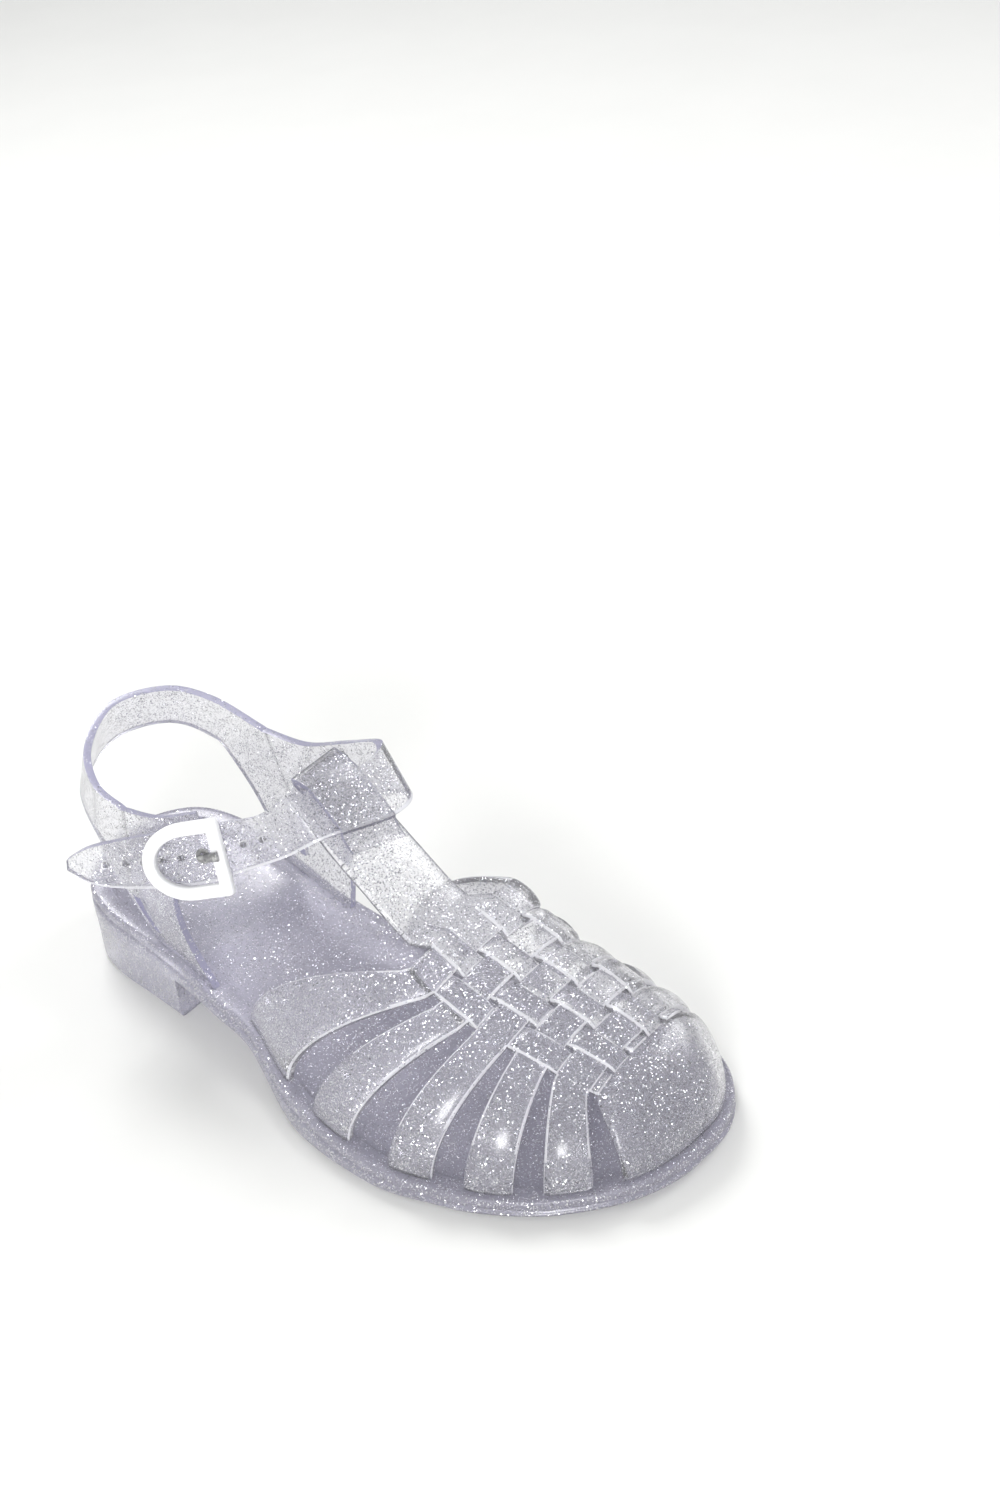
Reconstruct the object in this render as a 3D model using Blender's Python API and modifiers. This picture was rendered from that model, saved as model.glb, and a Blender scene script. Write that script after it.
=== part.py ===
"""Right-foot jelly sandal: a moulded sole, a woven cage upper with T-strap and quarters, and a D buckle.

The toe points to -Y, the heel to +Y, the outer side of the foot is -X, the inner side +X, and +Z is up.
The origin is on the floor under the middle of the shoe. Sizes are in millimetres and become metres in
the meshes. Tables hold shares of the named sizes, one row for each section.
"""
import math

import bpy
import bmesh
import numpy as np
from mathutils import Matrix, Vector

MM = 0.001

# Driving dimensions, in millimetres.
SHOE_LENGTH = 252.0
BALL_WIDTH = 104.0
HEEL_WIDTH = 70.0
INSTEP_HEIGHT = 62.0
COLLAR_HEIGHT = 90.0
SOLE_AT_BALL = 12.5
SOLE_AT_HEEL = 27.0
HEEL_LIFT = 17.0
TOE_SPRING = 5.0
UNDER_SPRING = 1.7
GROUND_AT_BALL = 4.3
WALL = 2.6
RELIEF = 1.2
SEAT_GAP = 0.3
UPPER_INSET = 3.2
LEG_BULGE = 1.0
FOOTBED_CUP = 4.0
RIM_LAND = 2.2
EDGE_STEP = 1.1
WELT_HEIGHT = 4.2
HEEL_INSET = 0.4
UNDER_LAND = 6.0
SIDE_RISE = 3.0
BED_LAND = 9.0
HEEL_OVERLAP = 3.0
TREAD_DEPTH = 1.2
TREAD_PITCH = 9.0
TREAD_GROOVE = 2.4
TREAD_MARGIN = 8.0
TREAD_CLEAR = 2.0
T_CROWN = 2.2
LOOP_WIDTH = 20.0
LOOP_WALL = 1.8
LOOP_TAB = 8.0
BUCKLE_HEIGHT = 26.5
BUCKLE_LENGTH = 31.0
BUCKLE_BAR = 4.6
BUCKLE_THICK = 3.0
BUCKLE_DROP = 0.8
BUCKLE_ROUNDING = 0.7
MERGE_WITHIN = 0.01
PRONG_WIDTH = 2.6
PRONG_THICK = 1.4
EYELET_RADIUS = 2.7
EYELET_HOLE = 1.1
EYELET_THICK = 0.8
EYELET_AWAY = 6.6

# Shares and curve shapes.
OUTER_POWER = 2.15
INNER_POWER = 3.6
CROWN_POWER = 1.8
SWING_POWER = 1.15
CAP_RISE_POWER = 1.35
CAP_DROP_POWER = 2.0
COLUMN_GAP = 0.18
BREAST_ALONG = 0.247
BALL_ALONG = 0.738
GROUND_SLOPE = 0.053
TREAD_SPANS = ((0.03, 0.22), (0.56, 0.90))
D_STRAIGHT = 0.45

# Cells of the meshes.
COLUMNS = 5
SIDE_CELLS = 6
BAND_ROWS = 3
CAP_ROWS = 8
T_STEPS = 3
STRAP_FIRST = 2
STRAP_POINTS = 6
RIBBON_ROWS = 5
LEG_ROWS = 8
SLIT_ROWS = (3, 6)
RING_HALF = 44
HEEL_RING = 16
BUCKLE_ARC = 18
ROUND_STEPS = 24

# Sole outline, from the back of the heel to the tip of the toe.
# along: share of SHOE_LENGTH from the heel. heel, ball: shares of HEEL_WIDTH and BALL_WIDTH, added.
LATERAL_EDGE = [
    dict(along=0.000, heel=0.000, ball=0.000),
    dict(along=0.008, heel=0.200, ball=0.000),
    dict(along=0.044, heel=0.400, ball=0.000),
    dict(along=0.103, heel=0.486, ball=0.000),
    dict(along=0.183, heel=0.514, ball=0.000),
    dict(along=0.262, heel=0.400, ball=0.096),
    dict(along=0.337, heel=0.200, ball=0.255),
    dict(along=0.409, heel=0.000, ball=0.409),
    dict(along=0.500, heel=0.000, ball=0.500),
    dict(along=0.563, heel=0.000, ball=0.538),
    dict(along=0.631, heel=0.000, ball=0.553),
    dict(along=0.698, heel=0.000, ball=0.548),
    dict(along=0.762, heel=0.000, ball=0.505),
    dict(along=0.810, heel=0.000, ball=0.466),
    dict(along=0.865, heel=0.000, ball=0.394),
    dict(along=0.903, heel=0.000, ball=0.327),
    dict(along=0.946, heel=0.000, ball=0.221),
    dict(along=0.974, heel=0.000, ball=0.125),
    dict(along=0.994, heel=0.000, ball=0.000),
    dict(along=1.000, heel=0.000, ball=-0.144),
]
MEDIAL_EDGE = [
    dict(along=0.000, heel=0.000, ball=0.000),
    dict(along=0.008, heel=0.200, ball=0.000),
    dict(along=0.044, heel=0.371, ball=0.000),
    dict(along=0.103, heel=0.443, ball=0.000),
    dict(along=0.183, heel=0.443, ball=0.000),
    dict(along=0.262, heel=0.290, ball=0.079),
    dict(along=0.337, heel=0.140, ball=0.160),
    dict(along=0.413, heel=0.000, ball=0.262),
    dict(along=0.480, heel=0.000, ball=0.298),
    dict(along=0.571, heel=0.000, ball=0.375),
    dict(along=0.667, heel=0.000, ball=0.452),
    dict(along=0.758, heel=0.000, ball=0.495),
    dict(along=0.825, heel=0.000, ball=0.505),
    dict(along=0.885, heel=0.000, ball=0.488),
    dict(along=0.937, heel=0.000, ball=0.431),
    dict(along=0.976, heel=0.000, ball=0.338),
    dict(along=0.996, heel=0.000, ball=0.240),
    dict(along=1.000, heel=0.000, ball=0.160),
]

# Side view of the sole. top: rim height as a blend from SOLE_AT_BALL (0) to SOLE_AT_HEEL (1).
# lift: underside of the platform over the floor, share of HEEL_LIFT. spring: rise at the toe, share of
# TOE_SPRING for the rim and of UNDER_SPRING for the underside.
SOLE_PROFILE = [
    dict(along=0.00, top=1.00, lift=1.00, spring=0.00),
    dict(along=0.25, top=0.90, lift=1.00, spring=0.00),
    dict(along=0.36, top=0.66, lift=0.80, spring=0.00),
    dict(along=0.46, top=0.42, lift=0.36, spring=0.00),
    dict(along=0.55, top=0.20, lift=0.00, spring=0.00),
    dict(along=0.68, top=0.03, lift=0.00, spring=0.00),
    dict(along=0.82, top=0.00, lift=0.00, spring=0.06),
    dict(along=0.92, top=0.00, lift=0.00, spring=0.42),
    dict(along=1.00, top=0.00, lift=0.00, spring=1.00),
]

# Crest of the last over the forefoot. across: share of BALL_WIDTH towards the inner side.
# rise: share of INSTEP_HEIGHT. weave: half width of the woven panel, share of BALL_WIDTH.
CREST = [
    dict(along=0.595, across=0.085, rise=1.030, weave=0.240),
    dict(along=0.650, across=0.086, rise=0.952, weave=0.262),
    dict(along=0.720, across=0.094, rise=0.860, weave=0.268),
    dict(along=0.800, across=0.112, rise=0.770, weave=0.250),
    dict(along=0.890, across=0.132, rise=0.665, weave=0.215),
]

# Bands of the cage, from the throat to the toe. crest_*: share of SHOE_LENGTH on the crest, rear and
# front edge. outer_*, inner_*: share of the sole's edge from the heel to the toe tip, at their feet.
BANDS = [
    dict(name="a", crest_rear=0.622, crest_front=0.664, outer_rear=0.388, outer_front=0.478,
         inner_rear=0.460, inner_front=0.588),
    dict(name="b", crest_rear=0.676, crest_front=0.717, outer_rear=0.527, outer_front=0.583,
         inner_rear=0.608, inner_front=0.664),
    dict(name="c", crest_rear=0.729, crest_front=0.771, outer_rear=0.636, outer_front=0.687,
         inner_rear=0.684, inner_front=0.730),
    dict(name="d", crest_rear=0.783, crest_front=0.824, outer_rear=0.722, outer_front=0.774,
         inner_rear=0.746, inner_front=0.785),
    dict(name="e", crest_rear=0.836, crest_front=0.878, outer_rear=0.806, outer_front=0.857,
         inner_rear=0.798, inner_front=0.834),
    dict(name="cap", crest_rear=0.889, crest_front=1.000, outer_rear=0.889, outer_front=1.000,
         inner_rear=0.848, inner_front=1.000),
]

# T-strap, from the woven panel up to its fold over the ankle strap.
# across: share of BALL_WIDTH. rise: share of COLLAR_HEIGHT. half: half width, share of BALL_WIDTH.
T_STRAP = [
    dict(along=0.595, across=0.060, rise=0.690, half=0.140),
    dict(along=0.571, across=0.050, rise=0.742, half=0.136),
    dict(along=0.524, across=0.043, rise=0.850, half=0.134),
    dict(along=0.476, across=0.043, rise=0.945, half=0.134),
    dict(along=0.429, across=0.048, rise=1.055, half=0.134),
    dict(along=0.397, across=0.055, rise=1.110, half=0.134),
]

# Quarters, heel band and ankle strap, as one ribbon from the outer tab round the heel and over the
# instep to the free end. top_*, low_*: its two edges; x is a share of HEEL_WIDTH, y a share of
# SHOE_LENGTH from the middle towards the heel, z a share of COLLAR_HEIGHT. steps: cells to the next row.
RIBBON = [
    dict(name="tab_tip", top_x=-0.300, top_y=0.226, top_z=0.922, low_x=-0.357, low_y=0.210, low_z=0.733, steps=3),
    dict(name="outer_front", top_x=-0.414, top_y=0.270, top_z=0.900, low_x=-0.471, low_y=0.238, low_z=0.644, steps=5),
    dict(name="outer_slit_a", top_x=-0.457, top_y=0.317, top_z=0.889, low_x=-0.507, low_y=0.306, low_z=0.622, steps=1),
    dict(name="outer_slit_b", top_x=-0.457, top_y=0.333, top_z=0.889, low_x=-0.507, low_y=0.321, low_z=0.628, steps=4),
    dict(name="outer_rear", top_x=-0.429, top_y=0.389, top_z=0.906, low_x=-0.464, low_y=0.393, low_z=0.711, steps=4),
    dict(name="heel_outer", top_x=-0.286, top_y=0.444, top_z=0.950, low_x=-0.321, low_y=0.456, low_z=0.778, steps=4),
    dict(name="heel_back", top_x=0.000, top_y=0.478, top_z=0.978, low_x=0.000, low_y=0.490, low_z=0.800, steps=4),
    dict(name="heel_inner", top_x=0.270, top_y=0.446, top_z=0.970, low_x=0.300, low_y=0.456, low_z=0.785, steps=4),
    dict(name="inner_rear", top_x=0.385, top_y=0.386, top_z=0.940, low_x=0.410, low_y=0.386, low_z=0.725, steps=5),
    dict(name="inner_slit_b", top_x=0.410, top_y=0.300, top_z=0.895, low_x=0.430, low_y=0.276, low_z=0.610, steps=1),
    dict(name="inner_slit_a", top_x=0.412, top_y=0.284, top_z=0.890, low_x=0.430, low_y=0.254, low_z=0.610, steps=5),
    dict(name="inner_front", top_x=0.425, top_y=0.214, top_z=0.910, low_x=0.440, low_y=0.164, low_z=0.680, steps=4),
    dict(name="strap_rise", top_x=0.443, top_y=0.143, top_z=1.000, low_x=0.450, low_y=0.079, low_z=0.833, steps=4),
    dict(name="strap_turn", top_x=0.450, top_y=0.079, top_z=1.078, low_x=0.414, low_y=0.024, low_z=0.928, steps=4),
    dict(name="loop_inner", top_x=0.264, top_y=0.067, top_z=1.078, low_x=0.264, low_y=0.008, low_z=0.933, steps=5),
    dict(name="loop_outer", top_x=-0.136, top_y=0.087, top_z=1.111, low_x=-0.136, low_y=0.034, low_z=0.984, steps=3),
    dict(name="strap_fall", top_x=-0.214, top_y=0.131, top_z=1.000, low_x=-0.243, low_y=0.079, low_z=0.889, steps=4),
    dict(name="strap_front", top_x=-0.286, top_y=0.171, top_z=0.950, low_x=-0.364, low_y=0.143, low_z=0.783, steps=4),
    dict(name="buckle_bar", top_x=-0.357, top_y=0.198, top_z=0.928, low_x=-0.429, low_y=0.171, low_z=0.739, steps=4),
    dict(name="over_tab", top_x=-0.457, top_y=0.250, top_z=0.878, low_x=-0.529, low_y=0.230, low_z=0.680, steps=4),
    dict(name="tail", top_x=-0.557, top_y=0.310, top_z=0.806, low_x=-0.600, low_y=0.302, low_z=0.612, steps=3),
    dict(name="tail_end", top_x=-0.636, top_y=0.351, top_z=0.752, low_x=-0.657, low_y=0.345, low_z=0.602, steps=2),
    dict(name="tail_tip", top_x=-0.693, top_y=0.377, top_z=0.690, low_x=-0.700, low_y=0.377, low_z=0.646, steps=0),
]

# Legs of the quarters, one row for each edge of a leg or slit: where it passes half way down
# and where it meets the sole. y: share of SHOE_LENGTH; mid_z: share of the way up to the band.
LEG_EDGES = [
    dict(name="outer_front", mid_y=0.222, mid_z=0.42, foot_y=0.172),
    dict(name="outer_slit_a", mid_y=0.290, mid_z=0.42, foot_y=0.254),
    dict(name="outer_slit_b", mid_y=0.306, mid_z=0.42, foot_y=0.266),
    dict(name="outer_rear", mid_y=0.338, mid_z=0.42, foot_y=0.296),
    dict(name="inner_rear", mid_y=0.316, mid_z=0.42, foot_y=0.272),
    dict(name="inner_slit_b", mid_y=0.252, mid_z=0.42, foot_y=0.240),
    dict(name="inner_slit_a", mid_y=0.232, mid_z=0.42, foot_y=0.218),
    dict(name="inner_front", mid_y=0.142, mid_z=0.42, foot_y=0.134),
]


def hermite(points, t):
    """Smooth curve through points[i] at parameter i, without overshoot worth noting."""
    points = np.asarray(points, float)
    last = len(points) - 1
    i = int(min(max(math.floor(t), 0), last - 1))
    f = t - i
    before = points[max(i - 1, 0)]
    start, end = points[i], points[i + 1]
    after = points[min(i + 2, last)]
    lean_in = (end - before) * (0.5 if i > 0 else 1.0)
    lean_out = (after - start) * (0.5 if i + 2 <= last else 1.0)
    return ((2 * f**3 - 3 * f**2 + 1) * start + (f**3 - 2 * f**2 + f) * lean_in
            + (3 * f**2 - 2 * f**3) * end + (f**3 - f**2) * lean_out)


def read_table(table, key, at, column="along"):
    """Value of a table's column at a share, on a monotone cubic through its rows."""
    xs = [row[column] for row in table]
    ys = [row[key] for row in table]
    at = min(max(at, min(xs[0], xs[-1])), max(xs[0], xs[-1]))
    i = 0
    while i < len(xs) - 2 and at > xs[i + 1]:
        i += 1
    slopes = [(ys[k + 1] - ys[k]) / (xs[k + 1] - xs[k]) for k in range(len(xs) - 1)]

    def tangent(k):
        if k == 0 or k == len(xs) - 1:
            return slopes[0] if k == 0 else slopes[-1]
        if slopes[k - 1] * slopes[k] <= 0:
            return 0.0
        return 2 * slopes[k - 1] * slopes[k] / (slopes[k - 1] + slopes[k])

    width = xs[i + 1] - xs[i]
    f = (at - xs[i]) / width
    return ((2 * f**3 - 3 * f**2 + 1) * ys[i] + (f**3 - 2 * f**2 + f) * width * tangent(i)
            + (3 * f**2 - 2 * f**3) * ys[i + 1] + (f**3 - f**2) * width * tangent(i + 1))


def along_to_y(along):
    return (0.5 - along) * SHOE_LENGTH


def y_to_along(y):
    return 0.5 - y / SHOE_LENGTH


def edge_points(table, side):
    """Corner points of one half of the sole's outline."""
    return [(side * (row["heel"] * HEEL_WIDTH + row["ball"] * BALL_WIDTH), along_to_y(row["along"]))
            for row in table]


class Edge:
    """Half of the sole's outline, read by the share of its length from the heel to the toe."""

    def __init__(self, table, side, fine=12):
        corners = edge_points(table, side)
        count = (len(corners) - 1) * fine
        self.points = np.array([hermite(corners, k / fine) for k in range(count + 1)])
        runs = np.hypot(*np.diff(self.points, axis=0).T)
        self.shares = np.concatenate([[0], np.cumsum(runs)]) / runs.sum()
        self.side = side

    def at(self, share, inset=0.0):
        x = np.interp(share, self.shares, self.points[:, 0])
        y = np.interp(share, self.shares, self.points[:, 1])
        ahead, behind = min(share + 0.004, 1.0), max(share - 0.004, 0.0)
        dx = np.interp(ahead, self.shares, self.points[:, 0]) - np.interp(behind, self.shares, self.points[:, 0])
        dy = np.interp(ahead, self.shares, self.points[:, 1]) - np.interp(behind, self.shares, self.points[:, 1])
        if share <= 0.0:
            dx, dy = self.side, 0.0
        if share >= 1.0:
            dx, dy = -self.side, 0.0
        length = math.hypot(dx, dy)
        inward = (self.side * dy / length, -self.side * dx / length)
        return np.array([x + inset * inward[0], y + inset * inward[1]])

    def share_at_y(self, y):
        return float(np.interp(-y, -self.points[:, 1], self.shares))


OUTER = Edge(LATERAL_EDGE, -1)
INNER = Edge(MEDIAL_EDGE, 1)


def sole_top(y):
    along = y_to_along(y)
    blend = read_table(SOLE_PROFILE, "top", along)
    return SOLE_AT_BALL + (SOLE_AT_HEEL - SOLE_AT_BALL) * blend + TOE_SPRING * read_table(SOLE_PROFILE, "spring", along)


def ground(y):
    """Height of the floor, in the last's own level: the shoe is built on its last and then set down."""
    return GROUND_AT_BALL - GROUND_SLOPE * (y - along_to_y(BALL_ALONG))


def sole_under(y):
    along = y_to_along(y)
    lift = HEEL_LIFT * read_table(SOLE_PROFILE, "lift", along)
    return ground(y) + lift + UNDER_SPRING * read_table(SOLE_PROFILE, "spring", along)


def material(name, color, roughness, metallic=0.0):
    mat = bpy.data.materials.new(name)
    mat.use_nodes = True
    shader = mat.node_tree.nodes["Principled BSDF"]
    shader.inputs["Base Color"].default_value = (*color, 1.0)
    shader.inputs["Roughness"].default_value = roughness
    shader.inputs["Metallic"].default_value = metallic
    mat.diffuse_color = (*color, 1.0)
    return mat


def mesh_object(name, collection, points, faces, mat):
    """Object from points in millimetres."""
    mesh = bpy.data.meshes.new(name)
    mesh.from_pydata([tuple(float(c) * MM for c in p) for p in points], [], faces)
    mesh.update()
    if mat:
        mesh.materials.append(mat)
    obj = bpy.data.objects.new(name, mesh)
    collection.objects.link(obj)
    return obj


def turn_faces_out(obj, away=None):
    """Make the faces agree; on an open sheet their sum then leans away from the given place."""
    mesh = bmesh.new()
    mesh.from_mesh(obj.data)
    bmesh.ops.recalc_face_normals(mesh, faces=mesh.faces)
    if away is not None:
        centre = Vector(away) * MM
        lean = sum(f.normal.dot(f.calc_center_median() - centre) * f.calc_area() for f in mesh.faces)
        if lean < 0:
            bmesh.ops.reverse_faces(mesh, faces=mesh.faces)
    mesh.to_mesh(obj.data)
    mesh.free()
    return obj


def apply_modifiers(obj):
    """Replace the object's mesh with its evaluated mesh."""
    bpy.context.view_layer.update()
    evaluated = obj.evaluated_get(bpy.context.evaluated_depsgraph_get())
    mesh = bpy.data.meshes.new_from_object(evaluated)
    obj.modifiers.clear()
    obj.data = mesh
    return obj


def thicken(obj, wall, offset=-1.0):
    """Turn an open sheet into a wall; offset -1 grows it inwards."""
    mod = obj.modifiers.new("wall", "SOLIDIFY")
    mod.thickness = wall * MM
    mod.offset = offset
    mod.use_even_offset = False
    return apply_modifiers(obj)


def seat_on_sole(obj):
    """Keep the wall's cut edge level with its seat on the sole's rim."""
    for vertex in obj.data.vertices:
        seat = (sole_top(vertex.co.y / MM) + SEAT_GAP) * MM
        vertex.co.z = max(vertex.co.z, seat)
    return obj


def join(obj, other, operation="UNION", solver="EXACT"):
    """Boolean of two closed objects; the second one is removed."""
    mod = obj.modifiers.new("join", "BOOLEAN")
    mod.object = other
    mod.operation = operation
    mod.solver = solver
    apply_modifiers(obj)
    bpy.data.objects.remove(other, do_unlink=True)
    return obj


class Sheet:
    """Open sheet of quads built from named rows of points, with shared corners merged."""

    def __init__(self):
        self.points = []
        self.faces = []
        self.index = {}

    def corner(self, key, point):
        if key not in self.index:
            self.index[key] = len(self.points)
            self.points.append(point)
        return self.index[key]

    def quad(self, keys, places):
        corners = [self.corner(k, p) for k, p in zip(keys, places)]
        face = [c for i, c in enumerate(corners) if c not in corners[:i]]
        if len(face) > 2:
            self.faces.append(face)


def section_plan(outer_foot, inner_foot, crest_y, side):
    """Plan of one half of a line over the last: crest x, panel edge distance, foot and whole length."""
    edge, foot = (OUTER, outer_foot) if side < 0 else (INNER, inner_foot)
    along = y_to_along(crest_y)
    crest_x = read_table(CREST, "across", along) * BALL_WIDTH
    panel = read_table(CREST, "weave", along) * BALL_WIDTH
    foot_at = edge.at(foot, UPPER_INSET)
    skirt = math.hypot(foot_at[0] - (crest_x + side * panel), foot_at[1] - crest_y)
    return crest_x, panel, foot_at, panel + skirt


def cross_section(outer_foot, inner_foot, crest_y, turn):
    """Point of the last on the line from the outer foot (turn -1) over the crest (0) to the inner foot (1).

    Each foot is a share of the sole's edge. The line runs straight across the woven panel and
    then swings to its foot.
    """
    side, power = (-1, OUTER_POWER) if turn < 0 else (1, INNER_POWER)
    crest_x, panel, foot_at, length = section_plan(outer_foot, inner_foot, crest_y, side)
    crest_z = read_table(CREST, "rise", y_to_along(crest_y)) * INSTEP_HEIGHT
    foot_z = sole_top(foot_at[1]) + SEAT_GAP
    angle = (1 - abs(turn)) * math.pi / 2
    distance = length * math.cos(angle) ** (2 / power)
    climb = math.sin(angle) ** (2 / CROWN_POWER)
    off_panel = max(0.0, distance - panel) / (length - panel)
    x = crest_x + side * min(distance, panel) + (foot_at[0] - crest_x - side * panel) * off_panel
    y = crest_y + (foot_at[1] - crest_y) * off_panel ** SWING_POWER
    return np.array([x, y, foot_z + (crest_z - foot_z) * climb])


def turn_at(outer_foot, inner_foot, crest_y, distance):
    """The turn at which the line is a signed distance from the crest, measured across the panel."""
    side, power = (-1, OUTER_POWER) if distance < 0 else (1, INNER_POWER)
    length = section_plan(outer_foot, inner_foot, crest_y, side)[3]
    angle = math.acos((abs(distance) / length) ** (power / 2))
    return side * (1 - angle / (math.pi / 2))


def panel_columns():
    """Signed places across the woven panel, shares of its half width: each strip and the gaps between."""
    places = []
    pitch = 2.0 / COLUMNS
    for k in range(COLUMNS):
        start = -1 + k * pitch
        places += [start + pitch * COLUMN_GAP / 2, start + pitch * (1 - COLUMN_GAP / 2)]
    return places


def lift_over(point, centre, amount):
    """Move a point outwards from the inside of the last."""
    away = point - centre
    return point + away * (amount / max(np.linalg.norm(away), 1e-6))


def cage_line(band, share):
    """Feet and crest of the line a share of the way from a band's rear edge to its front edge."""
    blend = lambda key: band[key + "_rear"] + (band[key + "_front"] - band[key + "_rear"]) * share
    return blend("outer"), blend("inner"), along_to_y(blend("crest"))


def cage_row(line, raised):
    """Points across one line of the cage, from the outer foot to the inner foot."""
    outer_foot, inner_foot, crest_y = line
    weave_half = read_table(CREST, "weave", y_to_along(crest_y)) * BALL_WIDTH
    spots = panel_columns()
    first = turn_at(outer_foot, inner_foot, crest_y, spots[0] * weave_half)
    last = turn_at(outer_foot, inner_foot, crest_y, spots[-1] * weave_half)
    turns = [-1 + (first + 1) * k / SIDE_CELLS for k in range(SIDE_CELLS)]
    turns += [turn_at(outer_foot, inner_foot, crest_y, s * weave_half) for s in spots]
    turns += [last + (1 - last) * (k + 1) / SIDE_CELLS for k in range(SIDE_CELLS)]
    centre = np.array([read_table(CREST, "across", y_to_along(crest_y)) * BALL_WIDTH, crest_y, SOLE_AT_BALL])
    row = []
    for k, turn in enumerate(turns):
        point = cross_section(outer_foot, inner_foot, crest_y, turn)
        row.append(lift_over(point, centre, raised(k)))
    return row


def weave_raise(band_number, on_band):
    """Height of each point of a row over the wall: strips and bands take turns on top."""
    def raised(k):
        column = (k - SIDE_CELLS) // 2
        if not 0 <= column < COLUMNS:
            return RELIEF * 0.5 if on_band else 0.0
        strip_over = (column + band_number) % 2 == 1
        return RELIEF if strip_over else 0.0
    return raised


def cap_point(start, share, down):
    """Point of the toe cap on the line from its rear edge (0) down to the sole's edge (1)."""
    outer_start, inner_start = BANDS[-1]["outer_rear"], BANDS[-1]["inner_rear"]
    outer_run, inner_run = 1 - outer_start, 1 - inner_start
    reach = share * (outer_run + inner_run)
    if reach <= outer_run:
        foot = OUTER.at(outer_start + reach, UPPER_INSET)
    else:
        foot = INNER.at(1 - (reach - outer_run), UPPER_INSET)
    foot_z = sole_top(foot[1]) + SEAT_GAP
    reach = math.sin(down * math.pi / 2) ** (2 / CAP_RISE_POWER)
    climb = (1 - reach ** CAP_RISE_POWER) ** (1 / CAP_DROP_POWER)
    plan = start[:2] + (foot - start[:2]) * reach
    return np.array([*plan, foot_z + (start[2] - foot_z) * climb])


def cap_shares(row):
    """Where each line of the toe cap meets the sole, as shares of the cap's edge."""
    runs = [0.0]
    for a, b in zip(row, row[1:]):
        runs.append(runs[-1] + np.linalg.norm((b - a)[:2]))
    return [run / runs[-1] for run in runs]


def build_cage():
    """Bands, woven panel and toe cap as one open sheet; returns it with its rows of points."""
    sheet = Sheet()
    rows = []
    for number, band in enumerate(BANDS):
        steps = 0 if band["name"] == "cap" else BAND_ROWS
        for share in [k / max(steps, 1) for k in range(steps + 1)]:
            rows.append((number, cage_row(cage_line(band, share), weave_raise(number, True))))
    width = len(rows[0][1])
    panel = range(SIDE_CELLS, width - SIDE_CELLS - 1)
    for j in range(len(rows) - 1):
        same_band = rows[j][0] == rows[j + 1][0]
        for k in range(width - 1):
            in_panel = k in panel
            gap_column = in_panel and (k - SIDE_CELLS) % 2 == 1
            if not same_band and (not in_panel or gap_column):
                continue
            keys = [(j, k), (j, k + 1), (j + 1, k + 1), (j + 1, k)]
            sheet.quad(keys, [rows[a][1][b] for a, b in keys])
    rear = rows[-1][1]
    shares = cap_shares(rear)
    for i in range(CAP_ROWS):
        for k in range(width - 1):
            keys, places = [], []
            for a, b in ((i, k), (i, k + 1), (i + 1, k + 1), (i + 1, k)):
                on_rear = a == 0 or b in (0, width - 1)
                keys.append((len(rows) - 1, b) if on_rear else ("cap", a, b))
                places.append(rear[b] if on_rear else cap_point(rear[b], shares[b], a / CAP_ROWS))
            sheet.quad(keys, places)
    return sheet, rows


def strap_line(row, spots):
    """Points across the T-strap at one row of its table."""
    half = row["half"] * BALL_WIDTH
    y = along_to_y(row["along"])
    top = row["rise"] * COLLAR_HEIGHT
    widest = max(abs(s) for s in spots)
    line = []
    for spot in spots:
        share = spot / widest
        line.append(np.array([row["across"] * BALL_WIDTH + share * half, y, top - T_CROWN * share * share]))
    return line


def fine_rows(table, steps):
    """Rows between the rows of a table, on a smooth curve."""
    keys = [key for key in table[0] if key not in ("name", "steps")]
    values = np.array([[row[key] for key in keys] for row in table])
    count = (len(table) - 1) * steps
    return [dict(zip(keys, hermite(values, k / steps))) for k in range(count + 1)]


def add_t_strap(sheet, rows):
    """Continue the middle strips of the woven panel up the instep."""
    spots = panel_columns()[STRAP_FIRST:STRAP_FIRST + STRAP_POINTS]
    lines = [strap_line(row, spots) for row in fine_rows(T_STRAP, T_STEPS)]
    first = SIDE_CELLS + STRAP_FIRST
    below = [((0, first + k), rows[0][1][first + k]) for k in range(STRAP_POINTS)]
    for j, line in enumerate(lines):
        here = [(("t", j, k), line[k]) for k in range(STRAP_POINTS)]
        for k in range(STRAP_POINTS - 1):
            cell = [here[k], here[k + 1], below[k + 1], below[k]]
            sheet.quad([c[0] for c in cell], [c[1] for c in cell])
        below = here
    return lines


def ribbon_edges():
    """Top and low edge points of the ribbon, with the named rows' places in the list."""
    top = [(r["top_x"] * HEEL_WIDTH, r["top_y"] * SHOE_LENGTH, r["top_z"] * COLLAR_HEIGHT) for r in RIBBON]
    low = [(r["low_x"] * HEEL_WIDTH, r["low_y"] * SHOE_LENGTH, r["low_z"] * COLLAR_HEIGHT) for r in RIBBON]
    tops, lows, named = [], [], {}
    for i, row in enumerate(RIBBON):
        named[row["name"]] = len(tops)
        for k in range(max(row["steps"], 1)):
            share = i + k / max(row["steps"], 1)
            tops.append(hermite(top, share))
            lows.append(hermite(low, share))
    return np.array(tops), np.array(lows), named


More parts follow.
